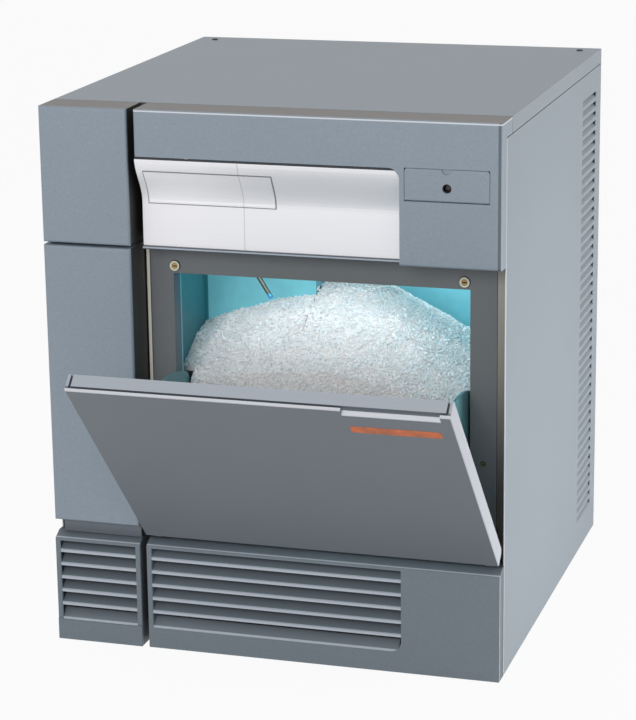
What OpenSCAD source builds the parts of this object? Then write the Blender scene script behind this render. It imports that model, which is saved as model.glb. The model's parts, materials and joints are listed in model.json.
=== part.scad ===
// Flake ice machine with a tilting hopper door, shown with the door open.
// Frame: origin at the centre of the base on the floor, +X to the right seen from the front,
// +Y towards the rear, +Z up, millimetres. Depths are counted back from the front plane.

/* [Cabinet] */
// Overall width of the cabinet
cabinet_w = 500; // [490:1:540]
// Overall depth, front plane to rear panel
cabinet_d = 530; // [525:1:580]
// Overall height of the cabinet
cabinet_h = 597; // [590:1:640]
// Thickness of the side, rear and top sheets
sheet_t = 1; // [0.8:0.1:1.2]
// Thickness of the base tray sheet
base_t = 1.5; // [1.2:0.1:2]
// Height of the base tray's rim
rim_h = 20; // [16:1:24]
// Height of the top cover's flange
flange_h = 17.5; // [15:0.5:20]
// Gap at the visible seams
seam = 0.5; // [0.3:0.1:0.7]
// Gap between pieces that are screwed or pushed together
fit = 0.2; // [0.1:0.05:0.3]
// Radial play of a pin that turns in its hole
run_gap = 0.05; // [0.03:0.01:0.09]
// Diameter of the threaded holes for screw-in feet
foot_hole_d = 8.5; // [6.8:0.1:10.2]
// Distance of the foot holes from the cabinet's outline
foot_inset = 45; // [40:1:55]

/* [Side louvres] */
// Distance from one louvre to the next
louvre_pitch = 11.5; // [11:0.5:14]
// Height of a louvre's window
louvre_h = 7; // [5:0.5:8]
// Length of a louvre
louvre_l = 80; // [60:1:90]
// How far a louvre is pressed inwards
louvre_in = 6; // [4:0.5:7]
// Distance of the louvres from the rear panel
louvre_rear = 30; // [28:1:50]
// Lowest louvre above the floor
louvre_low = 38; // [36:1:60]

/* [Front mouldings] */
// Depth of the upper front mouldings
mould_d = 45; // [43:0.5:48]
// Wall of the front mouldings
mould_t = 2.5; // [2:0.1:3]
// Radius of the mouldings' front edges
edge_r = 2.5; // [2:0.5:4]
// Width of the left column
left_w = 98.5; // [94:0.5:104]
// Width of the channel between the left column and the door
channel_w = 8; // [6:0.5:10]
// Height of the fascia above the door
fascia_h = 151; // [145:1:156]
// Height of the left column's upper panel
left_upper_h = 146; // [130:1:160]
// Gap between the left column's two panels
column_gap = 3; // [2:0.5:5]
// Height of the lower mouldings
lower_h = 124; // [122:0.5:128]
// Depth of the lower mouldings
lower_d = 28; // [26:0.5:31]
// Height of the sloped ledge on the lower mouldings
ledge_rise = 6; // [4:0.5:8]
// Depth of that ledge
ledge_d = 12; // [9:0.5:14]
// Height of the recessed neck below the left column
neck_h = 15; // [12:0.5:18]
// How far the neck is set back
neck_inset = 8; // [6:0.5:12]
// Height of the skirt below the left grille
skirt_h = 28; // [20:1:32]
// How far the skirt stands proud
skirt_proud = 1; // [0.5:0.5:2]

/* [Grilles] */
// Distance from one slat to the next
slat_pitch = 15.4; // [14:0.2:17]
// Depth of a slat
slat_d = 14; // [11:0.5:16]
// Rise of a slat from its front edge to its rear edge
slat_rise = 9; // [7:0.5:11]
// Thickness of a slat
slat_t = 2.6; // [2:0.1:3.2]
// Width of the wide grille in the lower panel
grille_w = 286.5; // [270:0.5:300]
// Lower edge of the grilles above the floor
grille_sill = 23; // [20:0.5:28]
// Slope height of the grilles' lower edge
sill_rise = 11; // [8:0.5:12]
// Radius of the wide grille's lower right corner
grille_corner_r = 12; // [8:0.5:14]
// Frame at the grilles' ends
grille_frame = 5; // [4:0.5:7]

/* [Trim plate] */
// Gap between the trim plate and the control flap
plate_gap = 5.5; // [5:0.5:9]
// Top edge of the trim plate below the cabinet's top
plate_drop = 49.5; // [44:0.5:54]
// Height over which the plate sweeps back
plate_sweep = 52; // [44:1:58]
// How far the plate is swept back
recess_d = 21; // [16:0.5:24]
// Sheet of the plate
plate_t = 1.5; // [1:0.1:2]
// Radius of the plate's top right corner
plate_corner_r = 12; // [8:0.5:15]
// Width of the raised blank frame on the plate
blank_w = 141; // [110:1:160]
// Height of the raised blank frame
blank_h = 37; // [30:1:40]
// Blank frame's distance from the plate's left end
blank_x = 7.5; // [5:0.5:12]
// Blank frame's distance from the plate's top edge
blank_drop = 15.5; // [12:0.5:18]
// Line width of the blank frame
blank_line = 2; // [1.5:0.1:3]
// How far the blank frame stands proud
blank_proud = 0.8; // [0.5:0.1:1.2]

/* [Control flap] */
// Width of the flap
flap_w = 88.5; // [82:0.5:89]
// Height of the flap
flap_h = 33.5; // [32:0.5:36]
// Flap's distance from the cabinet's right side
flap_right = 13; // [12:0.5:16]
// Flap's top edge below the cabinet's top
flap_drop = 49; // [46:0.5:54]
// Thickness of the flap
flap_t = 4; // [3.6:0.1:4.4]
// Diameter of the flap's pivot pins
flap_pin_d = 2.4; // [2:0.1:2.6]
// Length of the flap's pivot pins
flap_pin_l = 2; // [1.5:0.1:2.2]
// Depth of the frame round the flap's opening
flap_frame_d = 13; // [12:0.5:15]
// Diameter of the lamp hole in the flap
lamp_hole_d = 9.6; // [8:0.2:11]
// Lamp hole's height above the flap's lower edge
lamp_rise = 14; // [13:0.5:15]
// Diameter of the thumb notch in the flap's top edge
notch_d = 11; // [9:0.5:12]
// Width of the rocker
rocker_w = 20; // [17:0.5:21]
// Height of the rocker
rocker_h = 12; // [10:0.5:13]
// Half the rocker's travel, in degrees
rocker_tilt = 8; // [6:1:9]

/* [Door] */
// Thickness of the door panel
door_t = 19; // [17:0.5:20]
// Gap between the closed door and the fascia
door_gap = 2.5; // [2:0.1:4]
// Height of the door's lower edge above the lower panel
door_lift = 14.5; // [13.5:0.5:17]
// Angle to which the door opens
open_angle = 43.5; // [40:0.5:46]
// Depth of the hinge axis
hinge_d = 8; // [7.5:0.5:9.5]
// Hinge axis below the door's lower edge
hinge_drop = 6.5; // [6:0.5:7]
// Diameter of the hinge pins
hinge_pin_d = 6; // [5:0.5:6.5]
// Wall round the hinge pins
lug_wall = 2; // [1.6:0.1:2.2]
// Thickness of the hinge lugs
lug_t = 4; // [3:0.5:5]
// Front skin of the door
skin_t = 3; // [2.5:0.1:3.5]
// Groove behind the skin along the top
groove_w = 2.5; // [2:0.1:3]
// Depth of that groove
groove_h = 4; // [3:0.5:6]
// Bevel on the door's front side edges
door_bevel = 1; // [0.5:0.5:2]
// Length of the lowered stretch of the door's top edge
step_l = 109; // [90:1:120]
// How far that stretch is lowered
step_h = 5; // [4:0.5:6]
// Thickness of the door's inner liner
pan_t = 5; // [4:0.5:6]
// Reach of the door's cheeks from the hinge axis
cheek_r = 177; // [165:1:179]
// Thickness of the cheeks
cheek_t = 3; // [2.5:0.1:3.5]
// Side play of the cheeks in the bin mouth
cheek_gap = 2.5; // [2:0.1:3.5]
// Radius of the cheeks' rear corner
cheek_corner_r = 15; // [10:1:20]
// Width of the stop flange on the cheeks
stop_w = 5.5; // [4.5:0.5:6]
// Thickness of that flange
stop_t = 2.3; // [2:0.1:2.6]

/* [Bin] */
// Thickness of the bezel plate
bezel_t = 3; // [2.5:0.1:3.5]
// Depth of the bezel's reveal
reveal_d = 20; // [18:0.5:22]
// Wall of the reveal
reveal_t = 2.5; // [2:0.1:3]
// Width of the bezel's frame at the left
bezel_left = 30.2; // [28:0.2:33]
// Width of the bezel's frame at the right
bezel_right = 28.7; // [27:0.1:31]
// Bezel's right edge from the cabinet's side
bezel_inset = 14.5; // [14:0.5:17]
// Bin mouth's top edge below the fascia
mouth_drop = 32; // [28:0.5:36]
// Bin mouth's sill above the hinge axis
mouth_rise = 28; // [26:0.5:32]
// Bin floor below the sill
sill_h = 12; // [10:0.5:14]
// Bin ceiling above the mouth
ceiling_rise = 16; // [14:0.5:20]
// Bin's side walls outside the mouth
bin_lip = 10; // [9:0.5:11]
// Wall of the bin liner
liner_t = 3; // [2.5:0.1:3.5]
// Thickness of the foam round the bin
foam_t = 20; // [18:0.5:21]
// Bin depth in front of the freezer corner
nook_d = 106; // [104:1:112]
// Width of the freezer corner
nook_w = 130; // [128:1:136]
// Top of the ice heap below the bin's ceiling
heap_drop = 50; // [42:1:72]
// Fall of the heap per unit of distance
heap_slope = 0.72; // [0.6:0.02:0.8]
// Diameter of the bin probe tube
probe_d = 5; // [4:0.5:7]
// Length of the bin probe below the ceiling
probe_l = 70; // [58:1:76]
// Tilt of the bin probe, in degrees
probe_tilt = 32; // [20:1:36]
// Width of the ice spout
spout_w = 56; // [50:1:60]
// Height of the ice spout's duct
spout_h = 46; // [40:1:50]
// Wall of the ice spout
spout_t = 2; // [1.6:0.1:2.4]
// Spout's drop from the freezer corner's wall
spout_x = 45; // [40:1:60]

/* [Freezer] */
// Inner diameter of the freezing barrel
barrel_d = 52; // [48:1:54]
// Wall of the freezing barrel
barrel_t = 3; // [2.5:0.1:3.5]
// Diameter of the evaporator tube
coil_d = 9; // [8:0.2:9.6]
// Thickness of the freezer's foam jacket
jacket_t = 8; // [6:0.5:9]
// Top of the freezing barrel below the top of the bin's foam
barrel_drop = 21.5; // [18:0.5:24]
// Height of the stand under the gear case
stand_h = 40; // [36:1:46]
// Height of the gear case
gear_h = 110; // [100:1:116]
// Diameter of the drive motor
motor_d = 76; // [70:1:80]
// Length of the drive motor
motor_l = 105; // [90:1:115]
// Diameter of the auger's core
auger_core_d = 26; // [24:1:28]
// Radial play of the auger in the barrel
auger_gap = 0.6; // [0.4:0.1:1]
// Diameter of the auger's shaft ends
auger_shaft_d = 16; // [14:0.5:18]

/* [Cooling] */
// Radius of the compressor's shell
comp_r = 75; // [70:1:76]
// Height of the compressor's shell
comp_h = 182; // [170:1:190]
// Room round the compressor, front and rear together
comp_room = 26; // [22:1:36]
// Height of the rubber grommets under the compressor
grommet_h = 12; // [10:0.5:14]
// Width of the condenser
cond_w = 250; // [235:1:260]
// Depth of the condenser
cond_d = 44; // [40:1:46]
// Height of the condenser
cond_h = 98; // [94:0.5:100]
// Distance from one condenser fin to the next
fin_pitch = 9; // [8:0.5:12]
// Diameter of the condenser tube
cond_tube_d = 9; // [8:0.2:10]
// Diameter of the fan
fan_d = 84; // [78:1:86]
// Diameter of the fan's shaft
fan_shaft_d = 6; // [5:0.5:7]
// Diameter of the refrigerant lines
line_d = 8; // [7:0.5:9]
// Diameter of the filter drier
drier_d = 20; // [18:0.5:24]

/* [Water] */
// Width of the float tank
tank_w = 62; // [56:1:66]
// Depth of the float tank
tank_l = 84; // [80:1:96]
// Height of the float tank
tank_h = 90; // [84:1:100]
// Wall of the float tank
tank_t = 2.5; // [2:0.1:3]
// Diameter of the float arm's pivot pin
float_pin_d = 4; // [3:0.5:4.5]
// Thread diameter of the water inlet
inlet_d = 26.4; // [24:0.1:27]
// Diameter of the water hoses
hose_d = 12; // [10:0.5:13]
// Outer diameter of the drain spigot
drain_d = 20; // [18:0.5:22]
// Bore of the cable gland
gland_bore_d = 10; // [8:0.5:11]

/* [Hidden] */
$fn = 48;

// Overlap that joins two shapes of one piece, and the reach of a cut past a face
join = 0.5;
over = 2;

// Cabinet planes
x_l = -cabinet_w / 2;
x_r = cabinet_w / 2;
y_f = -cabinet_d / 2;
y_b = cabinet_d / 2;
side_top = cabinet_h - flange_h;
side_front = door_t + 1.5;
x_in = x_r - sheet_t - seam;
y_in = y_b - sheet_t - seam;

// Front mouldings
x_col = x_l + left_w;
x_seam = x_col + channel_w;
fascia_z = cabinet_h - fascia_h;
ledge_z = lower_h - ledge_rise;
inner_r = max(edge_r - mould_t, 0.4);
plate_z1 = cabinet_h - plate_drop;
plate_z0 = fascia_z - 1;
plate_lip = 3;
lip_h = 3.5;
flap_x1 = x_r - flap_right;
flap_x0 = flap_x1 - flap_w;
plate_x1 = flap_x0 - plate_gap;
flap_z1 = cabinet_h - flap_drop;
flap_z0 = flap_z1 - flap_h;
flap_axis_d = flap_t / 2;
flap_axis_z = flap_z0 + flap_t / 2;
lamp_x = (flap_x0 + flap_x1) / 2;
lamp_z = flap_z0 + lamp_rise;
rocker_x = flap_x0 + flap_w / 4;
rocker_z = flap_z0 + flap_h / 2;
rocker_axis_d = flap_frame_d + 1;

// Door, in its closed place
door_x0 = x_seam + seam;
door_x1 = x_r - seam;
door_top = fascia_z - door_gap;
door_bot = lower_h + door_lift;
hinge_z = door_bot - hinge_drop;
lug_r = hinge_pin_d / 2 + lug_wall;
lug_inset = 8;
bracket_t = 3;
pin_head_t = 2;
lug_gap = 0.3;
bracket_rise = 24;
bracket_foot_w = 14;
bracket_web = 8;

// Bezel and bin
bezel_d = mould_d + fit;
bezel_x0 = x_seam - channel_w + 1.5;
bezel_x1 = x_r - bezel_inset;
bezel_z0 = lower_h + 2;
bezel_z1 = fascia_z + 6;
mouth_x0 = bezel_x0 + bezel_left;
mouth_x1 = bezel_x1 - bezel_right;
mouth_z0 = hinge_z + mouth_rise;
mouth_z1 = fascia_z - mouth_drop;
bin_front = bezel_d + reveal_d + fit;
bin_floor = mouth_z0 - sill_h;
bin_top = mouth_z1 + ceiling_rise;
bin_x0 = mouth_x0 - bin_lip;
bin_x1 = mouth_x1 + bin_lip;
foam_x0 = bin_x0 - liner_t - foam_t;
foam_x1 = bin_x1 + liner_t + foam_t;
foam_z0 = bin_floor - liner_t - foam_t;
foam_z1 = bin_top + liner_t + foam_t;
machine_d = 2 * comp_r + comp_room;
foam_back = cabinet_d - machine_d;
bin_back = foam_back - foam_t - liner_t;
nook_front = bin_front + liner_t + nook_d;
nook_x = bin_x0 + nook_w;
cheek_x0 = mouth_x0 + cheek_gap;
cheek_x1 = mouth_x1 - cheek_gap;
stop_front = bin_front + liner_t + 0.3 - hinge_d;
cheek_rear = stop_front + stop_t;

// Freezer corner
coil_r = barrel_d / 2 + barrel_t + coil_d / 2;
jacket_in_r = coil_r + coil_d / 2 + 0.3;
jacket_r = jacket_in_r + jacket_t;
freezer_x = nook_x - liner_t - foam_t - jacket_r - 9;
freezer_d = nook_front + liner_t + foam_t + jacket_r + 5;
stand_z = base_t + stand_h;
barrel_z0 = stand_z + gear_h;
barrel_z1 = foam_z1 - barrel_drop;
barrel_h = barrel_z1 - barrel_z0;
gear_r = jacket_r - 2;
head_r = barrel_d / 2 + barrel_t + 7;
spout_z0 = foam_z1 + 3;
spout_z1 = spout_z0 + spout_h;
drop_x = nook_x + spout_x;
head_z1 = spout_z1 + 3;
motor_z = stand_z + gear_h / 2;

// Cooling set
comp_x = foam_x1 - comp_r - 42;
comp_y = y_b - machine_d / 2;
comp_z0 = base_t + grommet_h + 3;
comp_foot = 62;
comp_edge = 12;
grommet_d = 20;
grommet_neck_d = 11.6;
grommet_neck_h = 6;
cond_x0 = x_seam + grille_frame + 8;
cond_x1 = cond_x0 + cond_w;
cond_front = lower_d + base_t + 8;
cond_back = cond_front + cond_d;
cond_z0 = base_t + 12;
cond_z1 = cond_z0 + cond_h;
tube_rows = 4;
tube_pitch = cond_h / tube_rows;
tube_gap = cond_d / 2;
fan_x = cond_x0 + cond_w / 2;
fan_z = cond_z0 + cond_h / 2;
shroud_t = 2;
fan_depth = cond_back + shroud_t + 12;
tube_end = 3;
line_room = 4;
line_x = cond_x1 + tube_end + tube_pitch / 2 + (cond_tube_d + line_d) / 2 + line_room;
line_bend_r = 12;
line_turn = 30;
stub_l = 6;
drier_x = foam_x1 - 12;
drier_y = fy(foam_back) + 24;
drier_z0 = comp_z0 + comp_h + 30;
drier_l = 100;
drier_neck = 10;

// Water set
tank_x1 = foam_x0 - fit;
tank_x0 = tank_x1 - tank_w;
tank_d0 = bin_front + 40;
tank_z0 = foam_z1 - tank_h - 60;
tank_z1 = tank_z0 + tank_h;
float_axis_d = tank_d0 + tank_l - 12;
float_axis_z = tank_z1 - 14;
inlet_x = tank_x0 + 10;
inlet_z = tank_z1 + 70;
drain_x = nook_x + 14;
spigot_x = (freezer_x + gear_r + comp_x - comp_r) / 2;
drain_dd = bin_back - 40;
drain_z = base_t + 40;
gland_x = freezer_x - 30;
gland_z = base_t + 95;

// Depth from the front plane to a Y value
function fy(d) = y_f + d;

module block(x0, x1, y0, y1, z0, z1) {
    translate([x0, y0, z0]) cube([x1 - x0, y1 - y0, z1 - z0]);
}

// A (y, z) profile drawn out along X
module along_x(x0, x1) {
    translate([x0, 0, 0]) rotate([90, 0, 90]) linear_extrude(x1 - x0) children();
}

// An (x, z) profile drawn out along Y
module along_y(y0, y1) {
    translate([0, y1, 0]) rotate([90, 0, 0]) linear_extrude(y1 - y0) children();
}

// An (x, y) outline drawn out along Z
module along_z(z0, z1) {
    translate([0, 0, z0]) linear_extrude(z1 - z0) children();
}

module rod_x(x0, x1, y, z, d) {
    translate([x0, y, z]) rotate([0, 90, 0]) cylinder(h = x1 - x0, d = d);
}

module rod_y(y0, y1, x, z, d) {
    translate([x, y0, z]) rotate([-90, 0, 0]) cylinder(h = y1 - y0, d = d);
}

module rod_z(z0, z1, x, y, d) {
    translate([x, y, z0]) cylinder(h = z1 - z0, d = d);
}

// Rectangle from (a0, b0) to (a1, b1)
module area(a0, a1, b0, b1) {
    translate([a0, b0]) square([a1 - a0, b1 - b0]);
}

// Rectangle with round ends along its first direction
module slot_area(a0, a1, b, w) {
    area(a0 + w / 2, a1 - w / 2, b - w / 2, b + w / 2);
    for (a = [a0 + w / 2, a1 - w / 2]) translate([a, b]) circle(d = w);
}

// Outline from a0 to a1 and b0 to b1 whose two corners at b0 are round
module round_front(a0, a1, b0, b1, r) {
    area(a0, a1, b0 + r, b1);
    area(a0 + r, a1 - r, b0, b0 + r + join);
    for (a = [a0 + r, a1 - r]) translate([a, b0 + r]) circle(r = r);
}

// Block with round front edges, from depth d0 to depth d1
module soft_block(x0, x1, z0, z1, d0, d1, r) {
    intersection() {
        along_z(z0, z1) round_front(x0, x1, fy(d0), fy(d1), r);
        along_x(x0, x1) translate([0, z0 + z1]) rotate(-90)
            round_front(z0, z1, fy(d0), fy(d1), r);
    }
}

// Moulded cover with round front edges, open at the rear
module moulding_shell(x0, x1, z0, z1) {
    difference() {
        soft_block(x0, x1, z0, z1, 0, mould_d, edge_r);
        soft_block(x0 + mould_t, x1 - mould_t, z0 + mould_t, z1 - mould_t, mould_t, mould_d + over, inner_r);
    }
}

// Points of a rounded corner at b on the way from a to c
function unit(v) = v / norm(v);
function corner_arc(a, b, c, r, n = 4) =
    let (u = unit(a - b), w = unit(c - b), half = acos(u * w) / 2,
         p = b + u * r / tan(half), q = b + w * r / tan(half),
         centre = b + unit(u + w) * r / sin(half))
    [for (i = [0 : n]) centre + r * unit((1 - i / n) * (p - centre) + i / n * (q - centre))];
function route(p, r) = concat([p[0]],
    [for (i = [1 : len(p) - 2]) each corner_arc(p[i - 1], p[i], p[i + 1], r)], [p[len(p) - 1]]);
function tangents(p) = [for (i = [0 : len(p) - 1]) unit(p[min(i + 1, len(p) - 1)] - p[max(i - 1, 0)])];
function first_normal(t) = abs(t.z) < 0.9 ? unit(cross(t, [0, 0, 1])) : unit(cross(t, [1, 0, 0]));
function normals(t, i) = i == 0 ? [first_normal(t[0])] :
    let (before = normals(t, i - 1), last = before[i - 1])
    concat(before, [unit(last - (last * t[i]) * t[i])]);

// Bent line of round tube through the points, with bends of radius r
module tube_line(points, d, r, sides = 8) {
    p = route(points, r);
    n = len(p);
    t = tangents(p);
    a = normals(t, n - 1);
    rings = [for (i = [0 : n - 1]) let (b = cross(t[i], a[i])) for (k = [0 : sides - 1])
        p[i] + d / 2 * (cos(360 * k / sides) * a[i] + sin(360 * k / sides) * b)];
    walls = [for (i = [0 : n - 2], k = [0 : sides - 1]) let (j = (k + 1) % sides, s = i * sides)
        each [[s + k, s + sides + k, s + sides + j], [s + k, s + sides + j, s + j]]];
    polyhedron(rings, concat([[for (k = [0 : sides - 1]) k]], walls,
        [[for (k = [sides - 1 : -1 : 0]) (n - 1) * sides + k]]));
}

// Cabinet

module foot_places() {
    for (x = [x_l + foot_inset, x_r - foot_inset], y = [fy(foot_inset + lower_d), y_b - foot_inset])
        translate([x, y, 0]) children();
}

module base_tray() {
    color("silver") difference() {
        block(-x_in, x_in, fy(lower_d + fit), y_in, 0, rim_h);
        block(-x_in + base_t, x_in - base_t, fy(lower_d + fit) + base_t, y_in - base_t, base_t, rim_h + over);
        foot_places() translate([0, 0, -over]) cylinder(h = base_t + 2 * over, d = foot_hole_d);
    }
}

module foot_nuts() {
    color("darkgray") foot_places() translate([0, 0, base_t]) difference() {
        cylinder(h = foot_hole_d, d = foot_hole_d * 2.2, $fn = 6);
        translate([0, 0, -over]) cylinder(h = foot_hole_d + 2 * over, d = foot_hole_d);
    }
}

louvre_y1 = y_b - louvre_rear;
louvre_y0 = louvre_y1 - louvre_l;
louvre_n = floor((side_top - 2 * louvre_pitch - louvre_low) / louvre_pitch);
louvre_z = [for (i = [0 : louvre_n - 1]) louvre_low + i * louvre_pitch];
tongue_drop = 12;
tongue_h = 4;

// Right-hand side sheet, with its louvres pressed inwards and a joggled top edge
module side_sheet() {
    x0 = x_r - 2 * sheet_t - fit;
    y0 = fy(mould_d + seam + sheet_t + fit);
    z0 = side_top - tongue_drop;
    difference() {
        block(x_r - sheet_t, x_r, fy(side_front), y_b, 0, side_top - seam);
        along_x(x_r - sheet_t - over, x_r + over) for (z = louvre_z)
            area(louvre_y0, louvre_y1, z, z + louvre_h);
    }
    along_y(louvre_y0 + seam, louvre_y1 - seam) for (z = louvre_z) translate([x_r, z]) polygon([
        [0, -join], [0, 0], [-louvre_in, louvre_h], [-louvre_in - sheet_t, louvre_h],
        [-sheet_t, sheet_t * 0.2], [-sheet_t, -join]]);
    // Tongue that the top cover's flange slips over
    block(x0, x_r - sheet_t, y0, y_in - sheet_t, z0, z0 + tongue_h);
    block(x0, x0 + sheet_t, y0, y_in - sheet_t, z0, side_top + flange_h - tongue_h);
}

module right_side_panel() {
    color("lightsteelblue") side_sheet();
}

module left_side_panel() {
    color("lightsteelblue") mirror([1, 0, 0]) side_sheet();
}

inlet_neck_d = inlet_d - 4;
spigot_neck_d = drain_d - 2;
gland_neck_d = gland_bore_d + 6;
rear_slot_l = 44;
rear_slot_w = 5;
rear_slot_pitch = 13;
cover_screw_inset = 22;
cover_hole_d = 4.4;
cover_gap = 0.3;

module rear_panel() {
    x1 = x_r - sheet_t - fit;
    step = 1.25 * rear_slot_l;
    slots_x = comp_x - 1.7 * rear_slot_l;
    slots_z = comp_z0 + 30;
    shelf_y = 2 * cover_screw_inset - sheet_t;
    shelf_z = flange_h - sheet_t - cover_gap;
    color("lightsteelblue") {
        along_y(y_b - sheet_t, y_b) difference() {
            area(-x1, x1, 0, side_top - seam);
            for (c = [0 : 2], r = [0 : 14]) slot_area(slots_x + c * step, slots_x + c * step + rear_slot_l,
                slots_z + r * rear_slot_pitch, rear_slot_w);
            translate([inlet_x, inlet_z]) circle(d = inlet_neck_d + 2 * fit);
            translate([spigot_x, drain_z]) circle(d = spigot_neck_d + 2 * fit);
            translate([gland_x, gland_z]) circle(d = gland_neck_d + 2 * fit);
        }
        // Shelf that the top cover is screwed to
        difference() {
            along_x(-x1 + 6, x1 - 6) translate([y_b - sheet_t, side_top]) polygon([[0, -tongue_drop],
                [0, tongue_h - tongue_drop], [-fit, tongue_h - tongue_drop], [-fit, shelf_z],
                [-shelf_y, shelf_z], [-shelf_y, shelf_z - sheet_t], [-fit - sheet_t, shelf_z - sheet_t],
                [-fit - sheet_t, -tongue_drop]]);
            cover_screw_places() translate([0, 0, -flange_h]) cylinder(h = flange_h + over, d = cover_hole_d);
        }
    }
}

module cover_screw_places() {
    for (s = [-1, 1])
        translate([s * (x_r - cover_screw_inset), y_b - cover_screw_inset, cabinet_h]) children();
}

module top_cover() {
    y0 = fy(mould_d + seam);
    color("lightsteelblue") difference() {
        block(x_l, x_r, y0, y_b, side_top, cabinet_h);
        block(x_l + sheet_t, x_r - sheet_t, y0 + sheet_t, y_b - sheet_t, side_top - over,
            cabinet_h - sheet_t);
        cover_screw_places() translate([0, 0, -over]) cylinder(h = 2 * over, d = cover_hole_d);
    }
}

cover_screw_l = 8;
cover_head_d = 8;
cover_head_h = 1.2;
cross_w = 0.8;

// Cross-shaped drive in a screw's head, from depth d below the head's top at height h
module cross_drive(h, d, reach) {
    for (a = [0, 90]) rotate(a) translate([-reach, -cross_w / 2, h - d]) cube([2 * reach, cross_w, over]);
}

module top_cover_screws() {
    color("dimgray") cover_screw_places() difference() {
        union() {
            translate([0, 0, -cover_screw_l]) cylinder(h = cover_screw_l + join, d = cover_hole_d - 2 * fit);
            cylinder(h = cover_head_h, d1 = cover_head_d, d2 = cover_head_d * 0.8);
        }
        cross_drive(cover_head_h, cover_head_h / 2, cover_head_d * 0.3);
    }
}

post_leg = 30;

// Upright angle behind the front mouldings
module corner_post() {
    y0 = fy(bezel_d);
    color("tan") along_z(rim_h, side_top - tongue_drop - over) union() {
        area(bezel_x1 + seam, x_in, y0, y0 + base_t);
        area(x_in - base_t, x_in, y0, y0 + post_leg);
    }
}

module right_corner_post() {
    corner_post();
}

module left_corner_post() {
    mirror([1, 0, 0]) corner_post();
}

// Front mouldings

// Room for the side sheet behind a moulding's side wall
module side_room(x0, x1, z0) {
    block(x0, x1, fy(side_front - seam), fy(mould_d + over), z0 - over, side_top + seam);
}

module front_fascia() {
    frame_w = mould_t;
    color("lightslategray") difference() {
        union() {
            moulding_shell(x_seam, x_r, fascia_z, cabinet_h);
            // Cheek at the right end of the grip recess
            block(plate_x1, plate_x1 + mould_t, fy(mould_t - join), fy(recess_d + plate_t + 2),
                fascia_z + join, plate_z1);
            // Frame round the flap's opening
            block(flap_x0 - seam - frame_w, flap_x1 + seam + frame_w, fy(mould_t - join), fy(flap_frame_d),
                flap_z0 - seam - frame_w, flap_z1 + seam + frame_w);
        }
        plate_opening(fy(-over), fy(recess_d + plate_t + 2));
        block(flap_x0 - seam, flap_x1 + seam, fy(-over), fy(flap_frame_d + over), flap_z0 - seam,
            flap_z1 + seam);
        rod_x(flap_x0 - seam - frame_w, flap_x1 + seam + frame_w, fy(flap_axis_d), flap_axis_z,
            flap_pin_d + 2 * run_gap);
        side_room(x_r - mould_t - join, x_r + over, fascia_z);
    }
}

// Opening of the fascia that the trim plate fills
module plate_opening(y0, y1) {
    along_y(y0, y1) difference() {
        area(x_seam - over, plate_x1, fascia_z - over, plate_z1);
        difference() {
            area(plate_x1 - plate_corner_r, plate_x1 + over, plate_z1 - plate_corner_r, plate_z1 + over);
            translate([plate_x1 - plate_corner_r, plate_z1 - plate_corner_r]) circle(r = plate_corner_r);
        }
    }
}

// Depth of the swept plate's face at height z
function plate_face(z) = let (t = min(max((plate_z1 - z) / plate_sweep, 0), 1))
    recess_d * (1 - cos(180 * t)) / 2;

// Band of the swept profile, from o0 in front of the plate's face to o1 behind it
module plate_band(o0, o1, z0, z1) {
    steps = 14;
    heights = [for (i = [0 : steps]) plate_z1 - plate_sweep + i * plate_sweep / steps];
    zs = concat([z0], [for (z = heights) if (z > z0 + 0.1 && z < z1 - 0.1) z], [z1]);
    polygon(concat([for (z = zs) [fy(plate_face(z) - o0), z]],
        [for (i = [len(zs) - 1 : -1 : 0]) [fy(plate_face(zs[i]) + o1), zs[i]]]));
}

module trim_plate() {
    x0 = x_seam;
    x1 = plate_x1 - seam;
    z1 = plate_z1 - seam;
    r = plate_corner_r - seam;
    bx0 = x0 + blank_x;
    bx1 = bx0 + blank_w;
    bz1 = plate_z1 - blank_drop;
    bz0 = bz1 - blank_h;
    color("whitesmoke") {
        intersection() {
            along_x(x0, x1) plate_band(0, plate_t, plate_z0, z1);
            along_y(fy(-over), fy(mould_d)) union() {
                area(x0, x1, plate_z0 - over, z1 - r);
                area(x0, x1 - r, plate_z0, z1);
                translate([x1 - r, z1 - r]) circle(r = r);
            }
        }
        // Lip along the plate's lower edge
        block(x0, x1 + seam, fy(recess_d - plate_lip), fy(recess_d + join), plate_z0, plate_z0 + lip_h);
        // Raised blank frame
        intersection() {
            along_x(bx0, bx1) plate_band(blank_proud, plate_t / 2, bz0 - over, bz1 + over);
            along_y(fy(-over), fy(mould_d)) difference() {
                area(bx0, bx1, bz0, bz1);
                area(bx0 + blank_line, bx1 - blank_line, bz0 + blank_line, bz1 - blank_line);
            }
        }
    }
}

module left_upper_panel() {
    color("lightslategray") difference() {
        moulding_shell(x_l, x_col, cabinet_h - left_upper_h, cabinet_h);
        side_room(x_l - over, x_l + mould_t + join, cabinet_h - left_upper_h);
    }
}

module left_middle_panel() {
    z0 = lower_h + neck_h;
    z1 = cabinet_h - left_upper_h - column_gap;
    color("lightslategray") {
        difference() {
            moulding_shell(x_l, x_col, z0, z1);
            side_room(x_l - over, x_l + mould_t + join, z0);
            block(x_l + neck_inset + mould_t, x_col - mould_t, fy(neck_inset + mould_t), fy(mould_d + over),
                z0 - over, z0 + mould_t + over);
        }
        // Recessed neck below the panel
        difference() {
            block(x_l + neck_inset, x_col, fy(neck_inset), fy(lower_d), lower_h + seam, z0 + join);
            block(x_l + neck_inset + mould_t, x_col - mould_t, fy(neck_inset + mould_t), fy(lower_d + over),
                lower_h, z0 + 2 * over);
        }
    }
}

// Section of a lower moulding, shrunk by a wall w
module lower_section(w, d1) {
    z_base = w > 0 ? -over : 0;
    polygon([[fy(w), z_base], [fy(w), ledge_z - w * 0.6], [fy(ledge_d + w * 0.3), lower_h - w],
        [fy(d1), lower_h - w], [fy(d1), z_base]]);
}

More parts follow.
